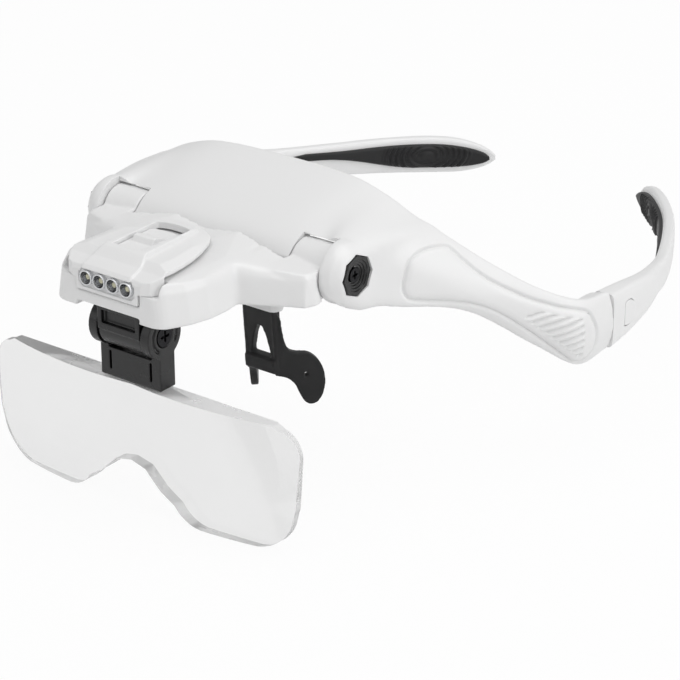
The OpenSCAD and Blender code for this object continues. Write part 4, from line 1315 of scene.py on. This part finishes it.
@dataclass
class Leg:
    """One spring leg with its latch and its ribbed pad."""

    side: Side
    seam_y: float = 58.0
    seam_z: float = -22.5
    root_x: float = 74.7
    reach: float = 160.0
    tip_x: float = 26.0
    wide: tuple[float, ...] = (6.3, 5.6, 4.8, 3.5, 3.5, 3.5, 3.5, 3.5, 2.7)
    high: tuple[float, ...] = (14.6, 13.2, 10.6, 9.0, 8.8, 9.8, 10.8, 11.2, 9.0)
    pad_from: float = 4.2
    pad_t: float = 1.2
    pad_h: float = 7.4
    tail_h: float = 2.2
    rib_mm: float = 1.6
    rib_high: float = 0.6
    rib_middle: float = 6.75
    rib_end: Pair = (13.0, 15.0)
    latch_gap: float = 0.22
    latch_out: float = 0.1
    grid: tuple[int, int] = (64, 260)
    pad_grid: tuple[int, int] = (64, 420)

    @property
    def last(self) -> int:
        """Number of the last point of the path, at the tip."""
        return len(self.wide) - 1

    def path(self) -> Array:
        """The leg's middle line.

        Returns:
            Its points from the plug to the tip.
        """
        x, y, z = self.root_x, self.seam_y, self.seam_z
        return np.array([
            [x, y, z - 0.3], [x + 0.2, y + 9, z + 0.1], [x - 0.8, y + 20, z], [x - 3.7, y + 31, z - 0.8],
            [x - 8.7, y + 44, z - 3.2], [x - 17.3, self.reach - 40, z - 5.2],
            [self.tip_x + 23, self.reach - 25.5, z - 6.4], [self.tip_x + 12.5, self.reach - 12.5, z - 7.4],
            [self.tip_x, self.reach, z - 9.2]], float)

    def along(self, u: Array) -> tuple[Array, Array, Array, Array]:
        """The leg at places on its path.

        Args:
            u: Places, counted in points of the path.

        Returns:
            Middle points, outward directions, widths and heights.
        """
        path = self.path()
        run = curve_through(path, np.minimum(self.last, u + 0.02)) - curve_through(path, np.maximum(0, u - 0.02))
        out = unit(np.stack([run[:, 1], -run[:, 0], np.zeros(len(u))], axis=1))
        wide, high = curve_through(np.array([self.wide, self.high]).T, u).T
        return curve_through(path, u), out, wide, high

    def body_point(self, along: Array, around: Array) -> Array:
        """Points on the leg's rounded surface.

        Args:
            along: Share from plug to tip.
            around: Share round the leg.

        Returns:
            The points.
        """
        u = along * self.last
        centre, out, wide, high = self.along(u)
        end = np.clip((self.last - u) / 0.8, 0, 1)
        close = np.sqrt(np.maximum(0.03, 1 - (1 - end) ** 2))
        turn = around * 2 * math.pi
        power = 0.34 + 0.18 * ease(along, 0, 0.3)
        flat = squared(np.cos(turn), power) * wide / 2 * np.maximum(close, 0.5)
        tall = squared(np.sin(turn), power) * high / 2 * close
        made = centre + out * flat[:, None]
        made[:, 2] += tall
        return made * [self.side.value, 1, 1]

    def pad_point(self, along: Array, around: Array) -> Array:
        """Points on the pad, a thin tail that swells into a paddle.

        Args:
            along: Share of the pad's length.
            around: Share round the pad.

        Returns:
            The points.
        """
        centre, out, wide, _ = self.along(self.pad_from + along * (self.last - 0.12 - self.pad_from))
        grow = ease(along, 0.15, 0.65)
        tail = np.minimum(1, along / 0.1 + 0.15)
        round_end = np.sqrt(np.maximum(0.02, 1 - np.maximum(0, (along - 0.72) / 0.28) ** 2))
        high = (self.tail_h * tail * (1 - grow) + self.pad_h * grow) * round_end
        lift = 1.8 - 1.7 * grow
        turn = around * 2 * math.pi
        flat, tall = squared(np.sin(turn), 0.5), squared(np.cos(turn), 0.55)
        depth = np.where(flat > 0, flat * self.pad_t * np.minimum(1, 0.3 + 3 * along), flat * 0.4)
        made = centre - out * (wide / 2 + depth)[:, None]
        made[:, 2] += lift + tall * high / 2
        return made * [self.side.value, 1, 1]

    def ribs(self, piece: Piece) -> None:
        """Raises the oval rings of ribs on the paddle.

        Args:
            piece: The pad.
        """
        points, normals = points_of(piece), normals_of(piece)
        middle = curve_through(self.path(), np.array([self.rib_middle]))[0]
        middle[0] *= self.side.value
        inward = normals[:, 0] * self.side.value < 0.3
        away = points - middle
        level = np.sqrt((away[:, 0] ** 2 + away[:, 1] ** 2) + (away[:, 2] - 0.6) ** 2 * 3.2)
        wave = 0.5 + 0.5 * np.cos(2 * math.pi * level / self.rib_mm)
        face = 1 - ease(np.abs(normals[:, 2]), 0.3, 0.6)
        points += normals * (self.rib_high * wave * face * inward * (1 - ease(level, *self.rib_end)))[:, None]
        move_points(piece, points)

    def latch(self, leg: Piece) -> Piece:
        """Sets the D-shaped latch flush in a pocket of the leg.

        Args:
            leg: The swept leg, which gets the pocket.

        Returns:
            The latch.
        """
        word, s = self.side.word, self.side.value
        made = copy_of(f"leg_latch_{word}", f"leg_latch_{word}_button")
        points = points_of(made)
        middle = (points.min(axis=0) + points.max(axis=0)) / 2
        skin = points_of(leg)
        near = np.linalg.norm(skin[:, 1:] - middle[1:], axis=1) < 1.5
        outer = np.abs(skin[near, 0]).max()
        points[:, 0] += s * (outer + self.latch_out - np.abs(points[:, 0]).max())
        move_points(made, points)
        combine(leg, self.around(points_of(made), middle), Join.CUT)
        shade(leg, 50.0)
        moulded(made, 0.14, 1)
        return fit(made, f"latch_{word}", WHITE_ABS, f"leg_latch_{word}")

    def around(self, points: Array, middle: Array) -> Bm:
        """A hull round the latch's button with a gap, for its pocket.

        Args:
            points: The points of the latch.
            middle: Its middle.

        Returns:
            The closed bmesh.
        """
        edge = np.abs(points[:, 0]).max()
        face = points[np.abs(points[:, 0]) > edge - 0.6][:, 1:]
        wide = face + unit(face - middle[1:]) * self.latch_gap
        return wrapped((self.side.value * x, y, z) for x in (edge - 1.6, edge + 1.2) for y, z in wide)

    def build(self) -> list[Piece]:
        """Builds the leg, its pad and its latch.

        Returns:
            The new pieces.
        """
        word = self.side.word
        leg = piece_from(f"leg_{word}_swept", mapped_grid(*self.grid, self.body_point), 60.0)
        latch = self.latch(leg)
        fit(leg, f"leg_{word}", WHITE_ABS, f"leg_{word}")
        pad = piece_from(f"leg_pad_{word}_ribbed", mapped_grid(*self.pad_grid, self.pad_point), 60.0)
        self.ribs(pad)
        fit(pad, f"leg_{word}", SOFT_RUBBER, f"leg_pad_{word}")
        return [leg, pad, latch]


# ---- studio


def seen_directly(tree: Tree) -> Socket:
    """Tells rays of the camera, also after clear pieces, from all others.

    Args:
        tree: The tree that gets the nodes.

    Returns:
        A socket that is 1 for the camera's rays and 0 for the others.
    """
    path = add_node(tree, "ShaderNodeLightPath")
    seen = add_node(tree, "ShaderNodeMath", {"operation": "MAXIMUM"}, links={"Value": path.outputs["Is Camera Ray"]})
    tree.links.new(path.outputs["Is Transmission Ray"], seen.inputs[1])
    return seen.outputs["Value"]


def mixed(tree: Tree, kind: str, share: Socket, first: Socket,
          second: Socket) -> None:
    """Mixes two shaders into a new output node.

    Args:
        tree: The tree.
        kind: Type name of the output node.
        share: How much of the second shader.
        first: The one shader.
        second: The other shader.
    """
    mix = add_node(tree, "ShaderNodeMixShader", links={"Fac": share})
    tree.links.new(first, mix.inputs[1])
    tree.links.new(second, mix.inputs[2])
    add_node(tree, kind, links={"Surface": mix.outputs["Shader"]})


@dataclass
class Studio:
    """Pale floor, soft lamps, white surroundings and the camera."""

    floor_z: float = -59.5
    floor_half: float = 6000.0
    floor_white: float = 0.93
    world_light: float = 0.5
    aim: Triple = (0.0, 0.04, -0.01)
    lamps: tuple[tuple[str, Triple, float, float], ...] = (
        ("top_softbox", (0.25, 0.1, 1.1), 1.1, 6.0), ("right_softbox", (1.1, 0.1, 0.5), 0.9, 3.8),
        ("front_softbox", (-0.5, -1.1, 0.5), 0.9, 1.6))
    eye: Triple = (367.7, -440.2, 232.2)
    tilt_deg: float = 65.58
    turn_deg: float = 37.03
    lens_mm: float = 132.35

    def floor(self) -> None:
        """Lays the floor. It looks white to the camera and keeps a soft share of the shadow."""
        shape = bmesh.new()
        bmesh.ops.create_grid(shape, x_segments=1, y_segments=1, size=self.floor_half,
                              matrix=Matrix.Translation((0, 0, self.floor_z)))
        ground = piece_from("floor", shape)
        made = bpy.data.materials.new("pale_paper_floor")
        tree = empty_tree(made)
        share = add_node(tree, "ShaderNodeMath", {"operation": "MULTIPLY"}, links={"Value": seen_directly(tree)})
        share.inputs[1].default_value = self.floor_white
        paper = add_node(tree, "ShaderNodeBsdfDiffuse", values={"Color": linear("#F0F0F0")})
        glow = add_node(tree, "ShaderNodeEmission", values={"Color": linear("#FFFFFF"), "Strength": 1.0})
        mixed(tree, "ShaderNodeOutputMaterial", share.outputs["Value"], paper.outputs["BSDF"],
              glow.outputs["Emission"])
        ground.data.materials.append(made)

    def lamp(self, name: str, place: Sequence[float], size: float, watts: float) -> None:
        """Hangs one soft lamp that faces the middle of the product.

        Args:
            name: Its name.
            place: Where it hangs, in metres.
            size: Side of its square face, in metres.
            watts: Its power.
        """
        light = bpy.data.lights.new(name, "AREA")
        light.shape, light.size, light.energy = "SQUARE", size, watts
        hung = placed(name, light)
        hung.location = place
        hung.rotation_euler = (Vector(self.aim) - Vector(place)).to_track_quat("-Z", "Y").to_euler()

    def surroundings(self) -> None:
        """Sets the world: white where the camera sees it, softer as a light."""
        world = bpy.data.worlds.new("studio")
        tree = empty_tree(world)
        soft, white = (add_node(tree, "ShaderNodeBackground", values={"Color": linear("#FFFFFF"), "Strength": power})
                       for power in (self.world_light, 1.0))
        mixed(tree, "ShaderNodeOutputWorld", seen_directly(tree), soft.outputs["Background"],
              white.outputs["Background"])
        bpy.context.scene.world = world

    def camera(self) -> None:
        """Puts the camera at the photograph's place."""
        data = bpy.data.cameras.new("view")
        data.lens, data.sensor_width, data.clip_start, data.clip_end = self.lens_mm, 36.0, 0.01, 50.0
        eye = placed("view", data)
        eye.location = [c * MM for c in self.eye]
        eye.rotation_euler = (math.radians(self.tilt_deg), 0.0, math.radians(self.turn_deg))
        bpy.context.scene.camera = eye

    def build(self) -> None:
        """Sets up the whole studio."""
        self.floor()
        self.surroundings()
        for lamp in self.lamps:
            self.lamp(*lamp)
        self.camera()
        bpy.context.scene.view_settings.view_transform = "Standard"


def main() -> None:
    """Builds every sub-assembly in order and reports its pieces."""
    logging.basicConfig(level=logging.INFO, format="%(name)s: %(message)s")
    parts = {
        "visor frame": lambda: [VisorFrame().build()],
        "pivots": Pivots().build,
        "front bracket": lambda: [FrontBracket().build()],
        "lamp": Lamp().build,
        "lens hinge": LensHinge().build,
        "lens": lambda: [MagnifierLens().build()],
        "nose pad": lambda: [NosePad().build()],
        "left leg": Leg(Side.LEFT).build,
        "right leg": Leg(Side.RIGHT).build,
    }
    for part, build in parts.items():
        for piece in build():
            log.info("%s: %s, %d faces", part, piece.name, len(piece.data.polygons))
    Studio().build()


if __name__ == "__main__":
    main()
